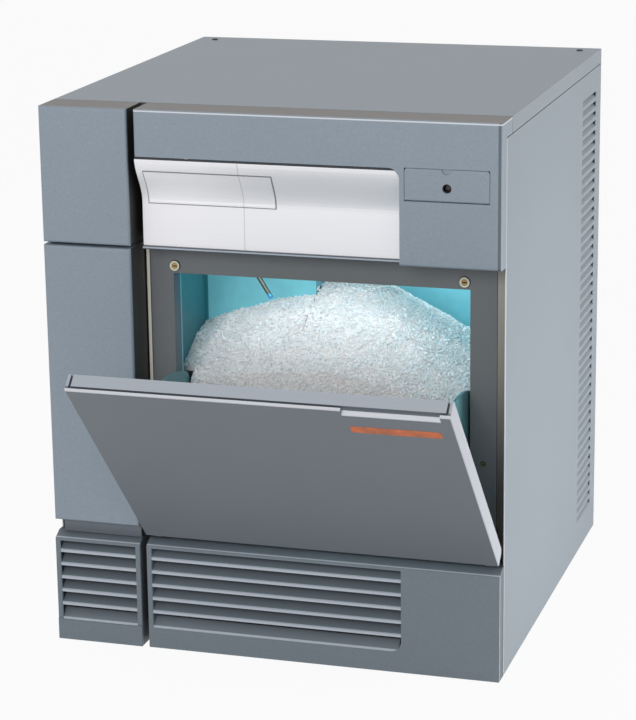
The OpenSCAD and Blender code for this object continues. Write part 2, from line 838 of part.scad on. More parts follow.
module lower_shell(x0, x1) {
    difference() {
        along_x(x0, x1) lower_section(0, lower_d);
        along_x(x0 + mould_t, x1 - mould_t) lower_section(mould_t, lower_d + over);
    }
}

// Room for the side sheet behind a lower moulding's side wall
module lower_side_room(x0, x1) {
    block(x0, x1, fy(side_front - seam), fy(lower_d + over), -over, lower_h + over);
}

slat_front = 1;
grille_top = ledge_z - 3;
slat_n = floor((ledge_z - slat_t - grille_sill - sill_rise) / slat_pitch);

// Sloping slats between two ends
module slats(x0, x1) {
    along_x(x0, x1) for (i = [1 : slat_n]) translate([fy(slat_front), ledge_z - slat_t / 2 - i * slat_pitch])
        polygon([[0, 0], [0, slat_t], [slat_d, slat_t + slat_rise], [slat_d, slat_rise]]);
}

// Sloped lower edge of a grille
module grille_edge(x0, x1) {
    along_x(x0, x1) polygon([[fy(mould_t / 2), grille_sill - join], [fy(mould_t / 2), grille_sill + 1],
        [fy(sill_rise), grille_sill + sill_rise], [fy(sill_rise + mould_t), grille_sill + sill_rise],
        [fy(mould_t + 1), grille_sill - join]]);
}

module left_grille() {
    x0 = x_l + grille_frame;
    x1 = x_col - grille_frame;
    color("lightslategray") {
        difference() {
            union() {
                lower_shell(x_l, x_col);
                block(x_l, x_col, fy(-skirt_proud), fy(mould_t / 2), 0, skirt_h - 4);
            }
            block(x0, x1, fy(-over), fy(mould_t + over), grille_sill, grille_top);
            lower_side_room(x_l - over, x_l + mould_t + join);
        }
        slats(x0 - join, x1 + join);
        grille_edge(x0 - join, x1 + join);
    }
}

module lower_grille() {
    x0 = x_seam + grille_frame;
    x1 = x_seam + grille_w;
    r = grille_corner_r;
    color("lightslategray") {
        difference() {
            lower_shell(x_seam, x_r);
            along_y(fy(-over), fy(mould_t + over)) union() {
                area(x0, x1 - r, grille_sill, grille_top);
                area(x0, x1, grille_sill + r, grille_top);
                translate([x1 - r, grille_sill + r]) circle(r = r);
            }
            lower_side_room(x_r - mould_t - join, x_r + over);
        }
        slats(x0 - join, x1 + join);
        grille_edge(x0 - join, x1 - r * 0.3);
        // Rib behind the slats' right end
        block(x1, x1 + mould_t, fy(mould_t - join), fy(slat_front + slat_d + 2), grille_sill, grille_top + 1);
        // Rib behind the slats' left end
        block(x0 - mould_t, x0, fy(mould_t - join), fy(slat_front + slat_d + 2), grille_sill, grille_top + 1);
    }
}

// Bin front

cup_d = 12.5;
cup_t = 2.2;
cup_hole_d = 4.6;
cup_screw_d = 4;
cup_rise = 8;
side_screw_d = 6;
side_screw_rise = 66;
side_screw_in = 14;
side_screw_l = 10;
side_head_h = 1.6;
cup_seat = 0.7;
cup_slot_w = 1.2;
cup_slot_d = 0.9;
cup_x = [mouth_x0 + 2, mouth_x1 - 6];
cup_z = mouth_z1 + cup_rise;
side_screw_x = [mouth_x0 - side_screw_in, mouth_x1 + side_screw_in];
side_screw_z = mouth_z0 + side_screw_rise;

module bezel_hole(x, z) {
    rod_y(fy(bezel_d - over), fy(bezel_d + bezel_t + over), x, z, cup_hole_d);
}

module bin_bezel() {
    color("dimgray") difference() {
        union() {
            block(bezel_x0, bezel_x1, fy(bezel_d), fy(bezel_d + bezel_t), bezel_z0, bezel_z1);
            block(mouth_x0 - reveal_t, mouth_x1 + reveal_t, fy(bezel_d), fy(bezel_d + reveal_d),
                mouth_z0 - reveal_t, mouth_z1 + reveal_t);
        }
        block(mouth_x0, mouth_x1, fy(bezel_d - over), fy(bezel_d + reveal_d + over), mouth_z0, mouth_z1);
        for (x = cup_x) bezel_hole(x, cup_z);
        for (x = side_screw_x) bezel_hole(x, side_screw_z);
    }
}

module bezel_cup_washers() {
    color("cornsilk") for (x = cup_x) translate([x, fy(bezel_d), cup_z]) rotate([90, 0, 0]) difference() {
        cylinder(h = cup_t, d1 = cup_d, d2 = cup_d - over);
        translate([0, 0, -over]) cylinder(h = cup_t + 2 * over, d = cup_hole_d);
        translate([0, 0, cup_seat - fit]) cylinder(h = cup_t, d1 = cup_hole_d, d2 = cup_hole_d + 2 * cup_t);
    }
}

module bezel_screws() {
    shank = reveal_d + liner_t;
    rise = cup_t - cup_seat;
    color("darkgoldenrod") {
        for (x = cup_x) translate([x, fy(bezel_d), cup_z]) rotate([90, 0, 0]) difference() {
            union() {
                translate([0, 0, -shank - fit]) cylinder(h = shank + 1, d = cup_screw_d);
                translate([0, 0, cup_seat]) cylinder(h = rise, d1 = cup_screw_d, d2 = cup_screw_d + 2 * rise);
            }
            translate([-cup_d / 2, -cup_slot_w / 2, cup_t - cup_slot_d]) cube([cup_d, cup_slot_w, over]);
        }
        for (x = side_screw_x) translate([x, fy(bezel_d), side_screw_z]) rotate([90, 0, 0]) difference() {
            union() {
                translate([0, 0, -side_screw_l]) cylinder(h = side_screw_l + join, d = cup_screw_d);
                cylinder(h = side_head_h, d1 = side_screw_d, d2 = side_screw_d - side_head_h);
            }
            cross_drive(side_head_h, side_head_h / 2, side_screw_d * 0.3);
        }
    }
}

// Plan of the bin, grown outwards by g, with the freezer corner left out
module bin_plan(g, d0) {
    polygon([[bin_x0 - g, fy(d0)], [bin_x1 + g, fy(d0)], [bin_x1 + g, fy(bin_back + g)],
        [nook_x - g, fy(bin_back + g)], [nook_x - g, fy(nook_front + g)], [bin_x0 - g, fy(nook_front + g)]]);
}

module spout_well(g, z0, z1) {
    block(drop_x - spout_w / 2 - g, drop_x + spout_w / 2 + g, fy(freezer_d) - spout_w / 2 - g,
        fy(freezer_d) + spout_w / 2 + g, z0, z1);
}

probe_x = nook_x - 74;
probe_dd = nook_front - 46;

// Line of the bin probe, from above the ceiling down to its tip
module probe_line(d, up, down) {
    translate([probe_x, fy(probe_dd), bin_top]) rotate([0, 180 - probe_tilt, 0]) translate([0, 0, -up])
        cylinder(h = up + down, d = d);
}

module bin_liner() {
    color("mediumturquoise") difference() {
        along_z(bin_floor - liner_t, bin_top + liner_t) bin_plan(liner_t, bin_front);
        along_z(bin_floor, bin_top) bin_plan(0, bin_front + liner_t);
        block(mouth_x0, mouth_x1, fy(bin_front - over), fy(bin_front + liner_t + over), mouth_z0, mouth_z1);
        spout_well(fit, bin_top - over, bin_top + liner_t + over);
        rod_z(bin_floor - liner_t - over, bin_floor + over, drain_x, fy(drain_dd), hose_d + 2 * fit);
        for (x = cup_x)
            rod_y(fy(bin_front - over), fy(bin_front + liner_t + over), x, cup_z, cup_screw_d + 2 * fit);
        probe_line(probe_d + 2 * fit, liner_t + 8, liner_t + 4);
    }
}

module bin_insulation() {
    color("khaki") difference() {
        along_z(foam_z0, foam_z1) bin_plan(liner_t + foam_t, bin_front);
        along_z(bin_floor - liner_t - fit, bin_top + liner_t + fit) bin_plan(liner_t + fit, bin_front - over);
        spout_well(fit, bin_top, foam_z1 + over);
        rod_z(foam_z0 - over, bin_floor, drain_x, fy(drain_dd), hose_d + 2 * fit);
        probe_line(probe_d + 2 * fit, 2 * foam_t + liner_t, 0);
    }
}

support_w = 24;

// Folded uprights that carry the insulated bin on the base tray
module bin_supports() {
    x1 = line_x - line_d / 2 - line_room - support_w;
    d0 = cond_back + 2 * shroud_t + 10;
    places = [[foam_x0 + 1, fy(d0)], [x1, fy(d0)], [x1, fy(bin_back - 2.5 * support_w)],
        [nook_x + support_w, fy(bin_back - 1.25 * support_w)]];
    color("silver") for (p = places) translate([p.x, p.y, base_t]) {
        cube([support_w, support_w, base_t]);
        cube([support_w, base_t, foam_z0 - base_t]);
        translate([0, 0, foam_z0 - 2 * base_t]) cube([support_w, support_w, base_t]);
    }
}

// Height of the heap's surface at x, depth d
heap_h = bin_top - bin_floor - heap_drop;
heap_x = nook_x + spout_x;
heap_d = nook_front + 28;
heap_s = 35;
heap_wide = 0.55;
function heap_z(x, d) = let (dx = (x - heap_x) * (x < heap_x ? heap_wide : 1), dd = d - heap_d)
    bin_floor + heap_h - heap_slope * (sqrt(dx * dx + dd * dd + heap_s * heap_s) - heap_s)
    + 2.2 * sin(x * 4.1 + d * 1.7) * sin(d * 4.7 - x * 1.3);

// Columns of the heap from wall to wall; beside the walls it leaves room for the door's cheeks to swing
heap_room = 2;
heap_in0 = cheek_x0 + cheek_t + heap_room;
heap_in1 = cheek_x1 - cheek_t - heap_room;
heap_turn = nook_x + fit;
heap_cols = concat([bin_x0 + fit, heap_in0 - heap_room],
    [for (i = [0 : 5]) heap_in0 + i * (heap_turn - heap_in0) / 5],
    [for (i = [0 : 6]) heap_turn + heap_room + i * (heap_in1 - heap_turn - heap_room) / 6],
    [heap_in1 + heap_room, bin_x1 - fit]);
heap_front = bin_front + liner_t + heap_room;
heap_left_in = 22;
heap_right_in = 65;
function heap_start(x) = heap_front +
    (x < heap_in0 ? heap_left_in : x > heap_in1 + heap_room / 2 ? heap_right_in : 0);
function heap_end(x) = (x > heap_turn + heap_room / 2 ? bin_back : nook_front) - fit;
function swing_z(d) = hinge_z + sqrt(max(pow(cheek_r + 2 * heap_room, 2) - pow(d - hinge_d, 2), 0));
function heap_low(x, d) = bin_floor + fit +
    (x < heap_in0 || x > heap_in1 + heap_room / 2 ? max(swing_z(d) - bin_floor, 0) : 0);

module ice_heap() {
    nx = len(heap_cols) - 1;
    ny = 12;
    n = (nx + 1) * (ny + 1);
    points = [for (top = [true, false], j = [0 : ny], x = heap_cols)
        let (d = heap_start(x) + j / ny * (heap_end(x) - heap_start(x)), low = heap_low(x, d))
        [x, fy(d), top ? max(heap_z(x, d), low + 1) : low]];
    function id(i, j) = j * (nx + 1) + i;
    tops = [for (j = [0 : ny - 1], i = [0 : nx - 1]) each [
        [id(i, j), id(i, j + 1), id(i + 1, j + 1)], [id(i, j), id(i + 1, j + 1), id(i + 1, j)]]];
    lows = [for (t = tops) [t[0] + n, t[2] + n, t[1] + n]];
    edge = concat([for (i = [0 : nx - 1]) [id(i, 0), id(i + 1, 0)]],
        [for (j = [0 : ny - 1]) [id(nx, j), id(nx, j + 1)]],
        [for (i = [nx : -1 : 1]) [id(i, ny), id(i - 1, ny)]],
        [for (j = [ny : -1 : 1]) [id(0, j), id(0, j - 1)]]);
    walls = [for (e = edge) each [[e[0], e[1], e[1] + n], [e[0], e[1] + n, e[0] + n]]];
    color("aliceblue") polyhedron(points, concat(tops, lows, walls));
}

module bin_probe() {
    color("darkturquoise") {
        probe_line(probe_d, foam_t + liner_t, probe_l - probe_d / 2);
        translate([probe_x, fy(probe_dd), bin_top]) rotate([0, 180 - probe_tilt, 0])
            translate([0, 0, probe_l - probe_d / 2]) sphere(d = probe_d);
    }
}

module ice_spout() {
    y0 = fy(freezer_d) - spout_w / 2;
    y1 = fy(freezer_d) + spout_w / 2;
    x0 = freezer_x;
    x1 = drop_x + spout_w / 2;
    color("gainsboro") difference() {
        union() {
            block(x0, x1, y0, y1, spout_z0, spout_z1);
            spout_well(0, bin_top - 1, spout_z1);
            block(drop_x - spout_w / 2 - 6, x1 + 6, y0 - 6, y1 + 6, foam_z1 + fit, spout_z0 + spout_t);
        }
        block(x0 - over, x1 - spout_t, y0 + spout_t, y1 - spout_t, spout_z0 + spout_t, spout_z1 - spout_t);
        spout_well(-spout_t, bin_top - over, spout_z1 - spout_t);
        rod_z(spout_z0 - over, spout_z1 + over, freezer_x, fy(freezer_d), 2 * (head_r + fit));
    }
}

// Door, drawn closed and swung open about its hinge

module door_open() {
    translate([0, fy(hinge_d), hinge_z]) rotate([open_angle, 0, 0])
        translate([0, -fy(hinge_d), -hinge_z]) children();
}

lug_x = [door_x0 + lug_inset, door_x1 - lug_inset - lug_t];
hollow_rim = 10;
pan_low = 16;
pan_high = 20;
foot_cut = 4;
pan_z0 = door_bot + pan_low;
pan_z1 = door_top - pan_high;
cheek_z0 = mouth_rise + 4;
stop_l = 42;

module door_panel() {
    g0 = skin_t;
    g1 = skin_t + groove_w;
    step_x = door_x1 - step_l;
    color("lightslategray") door_open() difference() {
        union() {
            along_z(door_bot, door_top) polygon([[door_x0 + door_bevel, fy(0)], [door_x1 - door_bevel, fy(0)],
                [door_x1, fy(door_bevel)], [door_x1, fy(door_t)], [door_x0, fy(door_t)],
                [door_x0, fy(door_bevel)]]);
            for (x = lug_x) along_x(x, x + lug_t) union() {
                translate([fy(hinge_d), hinge_z]) circle(r = lug_r);
                area(fy(hinge_d) - lug_r, fy(hinge_d) + lug_r, hinge_z, door_bot + join);
            }
        }
        // Hollow behind the skin, closed by the inner liner
        block(cheek_x0 + hollow_rim, cheek_x1 - hollow_rim, fy(skin_t), fy(door_t + over),
            pan_z0 + hollow_rim, pan_z1 - hollow_rim);
        // Groove that sets the skin off from the top edge
        difference() {
            block(door_x0 + g0, door_x1 - g0, fy(g0), fy(door_t + over), door_top - groove_h,
                door_top + over);
            block(door_x0 + g1, door_x1 - g1, fy(g1), fy(door_t + 2 * over), door_top - 2 * groove_h,
                door_top + 2 * over);
        }
        // Lowered stretch of the top edge with its bevel
        along_x(step_x, door_x1 - 2 * g1) polygon([[fy(-over), door_top - step_h - skin_t],
            [fy(0), door_top - step_h - skin_t], [fy(skin_t), door_top - step_h],
            [fy(skin_t), door_top + over], [fy(-over), door_top + over]]);
        // Chamfer along the lower rear edge
        along_x(door_x0 - over, door_x1 + over) polygon([[fy(door_t - foot_cut), door_bot - over],
            [fy(door_t - foot_cut), door_bot], [fy(door_t), door_bot + foot_cut],
            [fy(door_t + over), door_bot + foot_cut],
            [fy(door_t + over), door_bot - over]]);
        for (x = lug_x) rod_x(x - over, x + lug_t + over, fy(hinge_d), hinge_z, hinge_pin_d + 2 * run_gap);
    }
}

// Outline of a cheek round the hinge axis, with the door open
module cheek_open() {
    r = cheek_corner_r;
    cu = cheek_rear - r;
    cv = sqrt(pow(cheek_r - r, 2) - pow(cu, 2));
    reach = 3 * cheek_r;
    intersection() {
        circle(r = cheek_r, $fn = 96);
        union() {
            rotate(atan2(cv, cu)) translate([-reach, 0]) square([2 * reach, reach]);
            translate([cheek_rear - reach, cv - reach]) square([reach, reach]);
            translate([cu, cv]) circle(r = r);
        }
    }
}

// Outline of a cheek with the door closed, cut at the door and above the sill
module cheek_closed() {
    intersection() {
        rotate(-open_angle) cheek_open();
        translate([door_t + fit - hinge_d, cheek_z0]) square(2 * cheek_r);
    }
}

module door_liner() {
    stop_v = cheek_z0 + (cheek_r - mouth_rise) / 2;
    color("cadetblue") door_open() {
        block(cheek_x0, cheek_x1, fy(door_t + fit), fy(door_t + pan_t), pan_z0, pan_z1);
        for (s = [[cheek_x0, cheek_x0 - stop_w], [cheek_x1 - cheek_t, cheek_x1]]) {
            along_x(s[0], s[0] + cheek_t) translate([fy(hinge_d), hinge_z]) cheek_closed();
            // Stop flange that meets the bin's front wall when the door is open
            along_x(s[1], s[1] + stop_w + join) translate([fy(hinge_d), hinge_z]) rotate(-open_angle)
                area(stop_front, cheek_rear, stop_v, stop_v + stop_l);
        }
    }
}

module hinge_brackets() {
    y1 = fy(bezel_d - fit);
    z0 = hinge_z - lug_r + join;
    color("silver") for (s = [0, 1]) {
        x0 = s == 0 ? lug_x[0] + lug_t + lug_gap : lug_x[1] - lug_gap - bracket_t;
        foot_x = s == 0 ? x0 : x0 + bracket_t - bracket_foot_w;
        difference() {
            union() {
                along_x(x0, x0 + bracket_t) union() {
                    translate([fy(hinge_d), hinge_z]) circle(r = lug_r);
                    area(fy(hinge_d), y1, z0, hinge_z + lug_r - join);
                    area(y1 - bracket_web, y1, z0, hinge_z + bracket_rise);
                }
                block(foot_x, foot_x + bracket_foot_w, y1 - base_t, y1, z0, hinge_z + bracket_rise);
            }
            rod_x(x0 - over, x0 + bracket_t + over, fy(hinge_d), hinge_z, hinge_pin_d + 2 * run_gap);
        }
    }
}

module hinge_pins() {
    length = lug_t + bracket_t + 5 * lug_gap;
    color("gainsboro") for (s = [0, 1]) {
        x0 = s == 0 ? lug_x[0] - lug_gap : lug_x[1] + lug_t + lug_gap - length;
        head_x = s == 0 ? x0 - pin_head_t : x0 + length;
        rod_x(x0, x0 + length, fy(hinge_d), hinge_z, hinge_pin_d);
        rod_x(head_x, head_x + pin_head_t, fy(hinge_d), hinge_z, hinge_pin_d * 1.4);
    }
}

// Controls

module control_flap() {
    r = 3;
    color("lightslategray") difference() {
        union() {
            // Face with round upper corners
            along_y(fy(0), fy(flap_t)) union() {
                area(flap_x0, flap_x1, flap_axis_z, flap_z1 - r);
                area(flap_x0 + r, flap_x1 - r, flap_z1 - 2 * r, flap_z1);
                for (x = [flap_x0 + r, flap_x1 - r]) translate([x, flap_z1 - r]) circle(r = r);
            }
            // Round lower edge on the pivot axis, and the pivot pins
            rod_x(flap_x0, flap_x1, fy(flap_axis_d), flap_axis_z, flap_t);
            rod_x(flap_x0 - flap_pin_l, flap_x1 + flap_pin_l, fy(flap_axis_d), flap_axis_z, flap_pin_d);
        }
        rod_y(fy(-over), fy(flap_t + over), lamp_x, lamp_z, lamp_hole_d);
        // Thumb notch, half as deep as the flap
        rod_y(fy(-over), fy(flap_t / 2), lamp_x, flap_z1, notch_d);
        // Hollow back
        for (x = [[flap_x0 + r, lamp_x - lamp_hole_d], [lamp_x + lamp_hole_d, flap_x1 - r]])
            block(x[0], x[1], fy(flap_t / 2), fy(flap_t + over), flap_z0 + 1.5 * flap_t, flap_z1 - flap_t);
    }
}

switch_wall = 2;
switch_deep = 20;
switch_rim = 2.5;
rocker_play = 0.4;
rocker_pin_d = 2.4;
rocker_pin_l = 1.4;
lamp_h = 4.2;
lamp_tail = 14;
lamp_body_d = lamp_hole_d - 1.2;
panel_d0 = flap_frame_d + fit;
panel_t = 2;

module switch_panel() {
    color("darkslategray") difference() {
        block(flap_x0 - seam - mould_t, flap_x1 + seam + mould_t, fy(panel_d0), fy(panel_d0 + panel_t),
            flap_z0 - seam - mould_t, flap_z1 + seam + mould_t);
        block(rocker_x - rocker_w / 2 - switch_wall - fit, rocker_x + rocker_w / 2 + switch_wall + fit,
            fy(panel_d0 - over), fy(panel_d0 + panel_t + over), rocker_z - rocker_h / 2 - switch_wall - fit,
            rocker_z + rocker_h / 2 + switch_wall + fit);
        rod_y(fy(panel_d0 - over), fy(panel_d0 + panel_t + over), lamp_x, lamp_z, lamp_body_d - 2 + 2 * fit);
    }
}

module switch_housing() {
    w = rocker_w / 2 + rocker_play;
    h = rocker_h / 2 + rocker_play;
    ow = rocker_w / 2 + switch_wall;
    oh = rocker_h / 2 + switch_wall;
    y0 = fy(panel_d0 - switch_rim);
    color("#202224") difference() {
        union() {
            block(rocker_x - ow, rocker_x + ow, y0, fy(panel_d0 + switch_deep), rocker_z - oh, rocker_z + oh);
            block(rocker_x - ow - over, rocker_x + ow + over, y0, fy(panel_d0 - fit), rocker_z - oh - over,
                rocker_z + oh + over);
        }
        block(rocker_x - w, rocker_x + w, y0 - over, fy(panel_d0 + switch_deep / 2), rocker_z - h,
            rocker_z + h);
        rod_x(rocker_x - ow - over, rocker_x + ow + over, fy(rocker_axis_d), rocker_z,
            rocker_pin_d + 2 * run_gap);
    }
}

module switch_rocker() {
    reach = rocker_h / 2 - join;
    w = rocker_w / 2;
    color("#303234") translate([0, fy(rocker_axis_d), rocker_z]) rotate([rocker_tilt, 0, 0]) {
        along_x(rocker_x - w, rocker_x + w) polygon([[-5.2, -reach], [-3.8, 0],
            [-5.2, reach], [1, reach - 2.5], [3, 0], [1, -reach + 2.5]]);
        rod_x(rocker_x - w - rocker_pin_l, rocker_x + w + rocker_pin_l, 0, 0, rocker_pin_d);
    }
}

module pilot_lamp() {
    color("saddlebrown") translate([lamp_x, fy(panel_d0), lamp_z]) rotate([90, 0, 0]) {
        translate([0, 0, fit]) cylinder(h = lamp_h, d = lamp_body_d);
        translate([0, 0, lamp_h + fit - join]) cylinder(h = over, d1 = lamp_body_d, d2 = lamp_body_d * 0.65);
        translate([0, 0, -lamp_tail]) cylinder(h = lamp_tail + 1, d = lamp_body_d - 2);
    }
}

box_gap = 14;
box_front = 10;
box_d = 120;
box_h = 84;
box_lid_h = 14;
box_foot = 12;
knock_n = 3;
knock_d = 16;

module control_box() {
    x0 = drop_x + spout_w / 2 + box_gap;
    x1 = foam_x1 - box_gap / 2;
    y0 = fy(bin_front + box_front);
    y1 = y0 + box_d;
    z0 = foam_z1;
    z1 = z0 + box_h;
    color("silver") difference() {
        union() {
            block(x0, x1, y0, y1, z0, z1);
            block(x0 - sheet_t, x1 + sheet_t, y0 - sheet_t, y1 + sheet_t, z1 - box_lid_h, z1 + sheet_t);
            block(x0 - box_foot, x1, y1 - join, y1 + box_foot, z0, z0 + base_t);
        }
        // Row of conduit knock-outs at the rear
        for (i = [0 : knock_n - 1])
            rod_y(y1 - 2 * over, y1 + 2 * over, x0 + (i + 0.5) * (x1 - x0) / knock_n, z0 + box_h / 3,
                knock_d);
    }
}

// Cooling set

module comp_feet() {
    for (x = [-1, 1], y = [-1, 1]) translate([comp_x + x * comp_foot, comp_y + y * comp_foot, 0]) children();
}

module compressor() {
    r = comp_r;
    dome = 40;
    z0 = comp_z0;
    z1 = comp_z0 + comp_h;
    mid = z0 + comp_h * 0.55;
    plate_r = comp_foot + comp_edge;
    color("#2c2e30") {
        translate([comp_x, comp_y, 0]) rotate_extrude() {
            area(0, r, z0 + dome * 0.5, z1 - dome);
            intersection() {
                area(0, r, z1 - dome - join, z1);
                translate([0, z1 - dome * 2.2]) circle(r = dome * 2.2, $fn = 96);
            }
            polygon([[0, z0], [r * 0.72, z0], [r, z0 + dome * 0.5 + join], [0, z0 + dome * 0.5 + join]]);
            area(0, r + 2, mid - 3, mid + 3);
        }
        difference() {
            block(comp_x - plate_r, comp_x + plate_r, comp_y - plate_r, comp_y + plate_r, base_t + grommet_h,
                comp_z0 + join);
            comp_feet() translate([0, 0, base_t]) cylinder(h = comp_z0 + over, d = grommet_neck_d + 2 * fit);
        }
        // Discharge stub at the front
        rod_y(comp_y - r - stub_l, comp_y - r / 2, comp_x + discharge_dx, discharge_z, line_d + 2);
        // Suction stub on the top
        rod_z(z1 - dome, suction_z + stub_l, suction_x, suction_y, line_d + 4);
    }
}

discharge_dx = -34;
discharge_z = tube_z(tube_rows - 1);
suction_x = comp_x - 30;
suction_y = comp_y - 30;
suction_z = comp_z0 + comp_h;
suction_drop = 26;

module compressor_grommets() {
    h = grommet_h + grommet_neck_h;
    color("#1c1c1c") comp_feet() translate([0, 0, base_t]) difference() {
        union() {
            cylinder(h = grommet_h, d = grommet_d);
            cylinder(h = h, d = grommet_neck_d);
        }
        translate([0, 0, -over]) cylinder(h = h + 2 * over, d = grommet_d / 3);
    }
}

module terminal_cover() {
    w = comp_r * 0.32;
    z0 = comp_z0 + comp_h * 0.27;
    color("#38393b") difference() {
        block(comp_x + comp_r * 0.5, comp_x + comp_r + w, comp_y - w, comp_y + w, z0, z0 + comp_h * 0.22);
        rod_z(comp_z0, comp_z0 + comp_h, comp_x, comp_y, 2 * (comp_r + fit));
    }
}

tube_d0 = cond_front + (cond_d - tube_gap) / 2;
fin_n = floor(cond_w / fin_pitch);
fin_t = 0.8;
cond_foot_w = 20;
function tube_z(i) = cond_z0 + tube_pitch * (i + 0.5);

module condenser_fins() {
    y0 = fy(cond_front);
    y1 = fy(cond_back);
    color("silver") difference() {
        union() {
            for (i = [0 : fin_n]) let (x = cond_x0 + i * (cond_w - fin_t) / fin_n)
                block(x, x + fin_t, y0, y1, cond_z0, cond_z1);
            // Frame plates above and below the fins
            for (z = [cond_z0, cond_z1]) block(cond_x0, cond_x1, y0, y1, z - fin_t, z + fin_t);
            // Feet on the base tray
            for (x = [cond_x0, cond_x1 - cond_foot_w]) block(x, x + cond_foot_w, y0, y1, base_t, cond_z0);
        }
        for (i = [0 : tube_rows - 1], j = [0, 1]) rod_x(cond_x0 - over, cond_x1 + over,
            fy(tube_d0 + j * tube_gap), tube_z(i), cond_tube_d + 2 * fit);
    }
}

// Half turn of tube, bulging towards +X, between two ends that lie w apart along Y
module tube_bend(w) {
    rotate(-90) rotate_extrude(angle = 180, $fn = 24) translate([w / 2, 0]) circle(d = cond_tube_d);
}

module condenser_coil() {
    x0 = cond_x0 - tube_end;
    x1 = cond_x1 + tube_end;
    color("peru") {
        for (i = [0 : tube_rows - 1], j = [0, 1])
            rod_x(x0, x1, fy(tube_d0 + j * tube_gap), tube_z(i), cond_tube_d);
        // Bends between front and rear at the left, and from row to row at the right
        for (i = [0 : tube_rows - 1]) translate([x0, fy(tube_d0 + tube_gap / 2), tube_z(i)])
            mirror([1, 0, 0]) tube_bend(tube_gap);
        for (i = [0 : tube_rows - 2])
            translate([x1, fy(tube_d0 + i % 2 * tube_gap), tube_z(i) + tube_pitch / 2]) rotate([90, 0, 0])
                tube_bend(tube_pitch);
    }
}

fan_gap = 3;
ring_d = 10;

module fan_shroud() {
    y0 = fy(cond_back + fit);
    bore = fan_d + 2 * fan_gap;
    color("#2a2c2e") difference() {
        union() {
            block(cond_x0, cond_x1, y0, y0 + shroud_t, base_t, cond_z1 + fin_t);
            rod_y(y0, fy(fan_depth + ring_d), fan_x, fan_z, bore + 2 * shroud_t);
        }
        rod_y(y0 - over, fy(fan_depth + ring_d + over), fan_x, fan_z, bore);
    }
}

fan_motor_gap = 24;
fan_motor_d0 = fan_depth + fan_motor_gap;
fan_motor_d = 62;
fan_motor_l = 42;
fan_foot_w = 68;
fan_web_w = 40;
fan_foot_t = 3;
fan_foot_in = 6;
fan_boss_l = 4;

module fan_motor() {
    y0 = fy(fan_motor_d0);
    y1 = y0 + fan_motor_l;
    f0 = y0 + fan_foot_in;
    f1 = y1 - fan_foot_in;
    web = fan_web_w / 2;
    color("#3a3c3e") difference() {
        union() {
            rod_y(y0, y1, fan_x, fan_z, fan_motor_d);
            rod_y(y0 - fan_boss_l, y0 + join, fan_x, fan_z, fan_motor_d * 0.45);
            // Foot that stands on the base tray
            block(fan_x - web, fan_x + web, f0, f1, base_t, fan_z);
            block(fan_x - fan_foot_w / 2, fan_x + fan_foot_w / 2, f0, f1, base_t, base_t + fan_foot_t);
        }
        block(fan_x - web + fan_foot_t, fan_x + web - fan_foot_t, f0 - over, f1 + over,
            base_t + fan_foot_t + over, fan_z - fan_motor_d / 2 + 1);
        rod_y(y0 - fan_boss_l - over, f1, fan_x, fan_z, fan_shaft_d + 2 * run_gap);
    }
}

blade_n = 5;
blade_t = 3;
blade_w = 12;
fan_hub_d = 26;
fan_hub_l = 14;

module fan_blade() {
    tip = fan_d / 2;
    hub_z = fan_hub_l / 2;
    shaft_z = fan_motor_gap + fan_motor_l - fan_foot_in - over;
    color("#d8dadc") translate([fan_x, fy(fan_depth), fan_z]) rotate([-90, 0, 0]) {
        translate([0, 0, -hub_z]) cylinder(h = fan_hub_l, d = fan_hub_d);
        translate([0, 0, hub_z - join]) cylinder(h = shaft_z - hub_z + join, d = fan_shaft_d);
        for (i = [0 : blade_n - 1]) rotate(i * 360 / blade_n) translate([0, 0, -blade_w / 2])
            linear_extrude(blade_w, twist = 34, slices = 4, $fn = 4) intersection() {
                circle(r = tip, $fn = 40);
                translate([fan_hub_d / 2 - over, -blade_t / 2]) square([tip, blade_t]);
            }
    }
}

module filter_drier() {
    n = drier_neck;
    color("peru") translate([drier_x, drier_y, drier_z0]) rotate_extrude() polygon([[0, -n], [line_d / 2, -n],
        [line_d / 2, 0], [drier_d / 2, n], [drier_d / 2, drier_l - n], [line_d / 2, drier_l],
        [line_d / 2, drier_l + n], [0, drier_l + n]]);
}

// Hot gas line from the compressor to the condenser
module discharge_line() {
    x = comp_x + discharge_dx;
    y0 = comp_y - comp_r - stub_l - fit;
    y1 = comp_y - comp_r - line_turn;
    y2 = fy(tube_d0 + tube_gap);
    z = discharge_z;
    color("peru") tube_line([[x, y0, z], [x, y1, z], [line_x, y1, z], [line_x, y2, z],
        [cond_x1 + tube_end + fit, y2, z]], line_d, line_bend_r);
}

// Cold gas line from the evaporator to the compressor
module suction_line() {
    y = fy(freezer_d) + jacket_r + fit;
    z = barrel_z1 - suction_drop;
    color("peru") tube_line([[freezer_x, y, z], [freezer_x, suction_y, z], [suction_x, suction_y, z],
        [suction_x, suction_y, suction_z + stub_l + fit]], line_d, line_bend_r);
}

// Liquid line from the condenser through the drier's foot
module liquid_line() {
    x = drier_x;
    y = fy(tube_d0 + tube_gap);
    z = tube_z(0);
    color("peru") tube_line([[cond_x1 + tube_end + fit, y, z], [x, y, z], [x, drier_y, z],
        [x, drier_y, drier_z0 - drier_neck - fit]], line_d, line_bend_r);
}

// Freezer

module at_freezer(z = 0) {
    translate([freezer_x, fy(freezer_d), z]) children();
}

module freezer_stand() {
    w = 2 * gear_r;
    color("silver") at_freezer(base_t) difference() {
        translate([-w / 2, -w / 2, 0]) cube([w, w, stand_h]);
        translate([-w / 2 + 3, -w / 2 - over, -over]) cube([w - 6, w + 2 * over, stand_h - 3 + over]);
        translate([0, 0, -over]) cylinder(h = stand_h + 2 * over, d = gear_r);
    }
}

rib_h = 3;
rib_t = 2;
motor_end = 12;
motor_box = 34;
flange_l = 6;

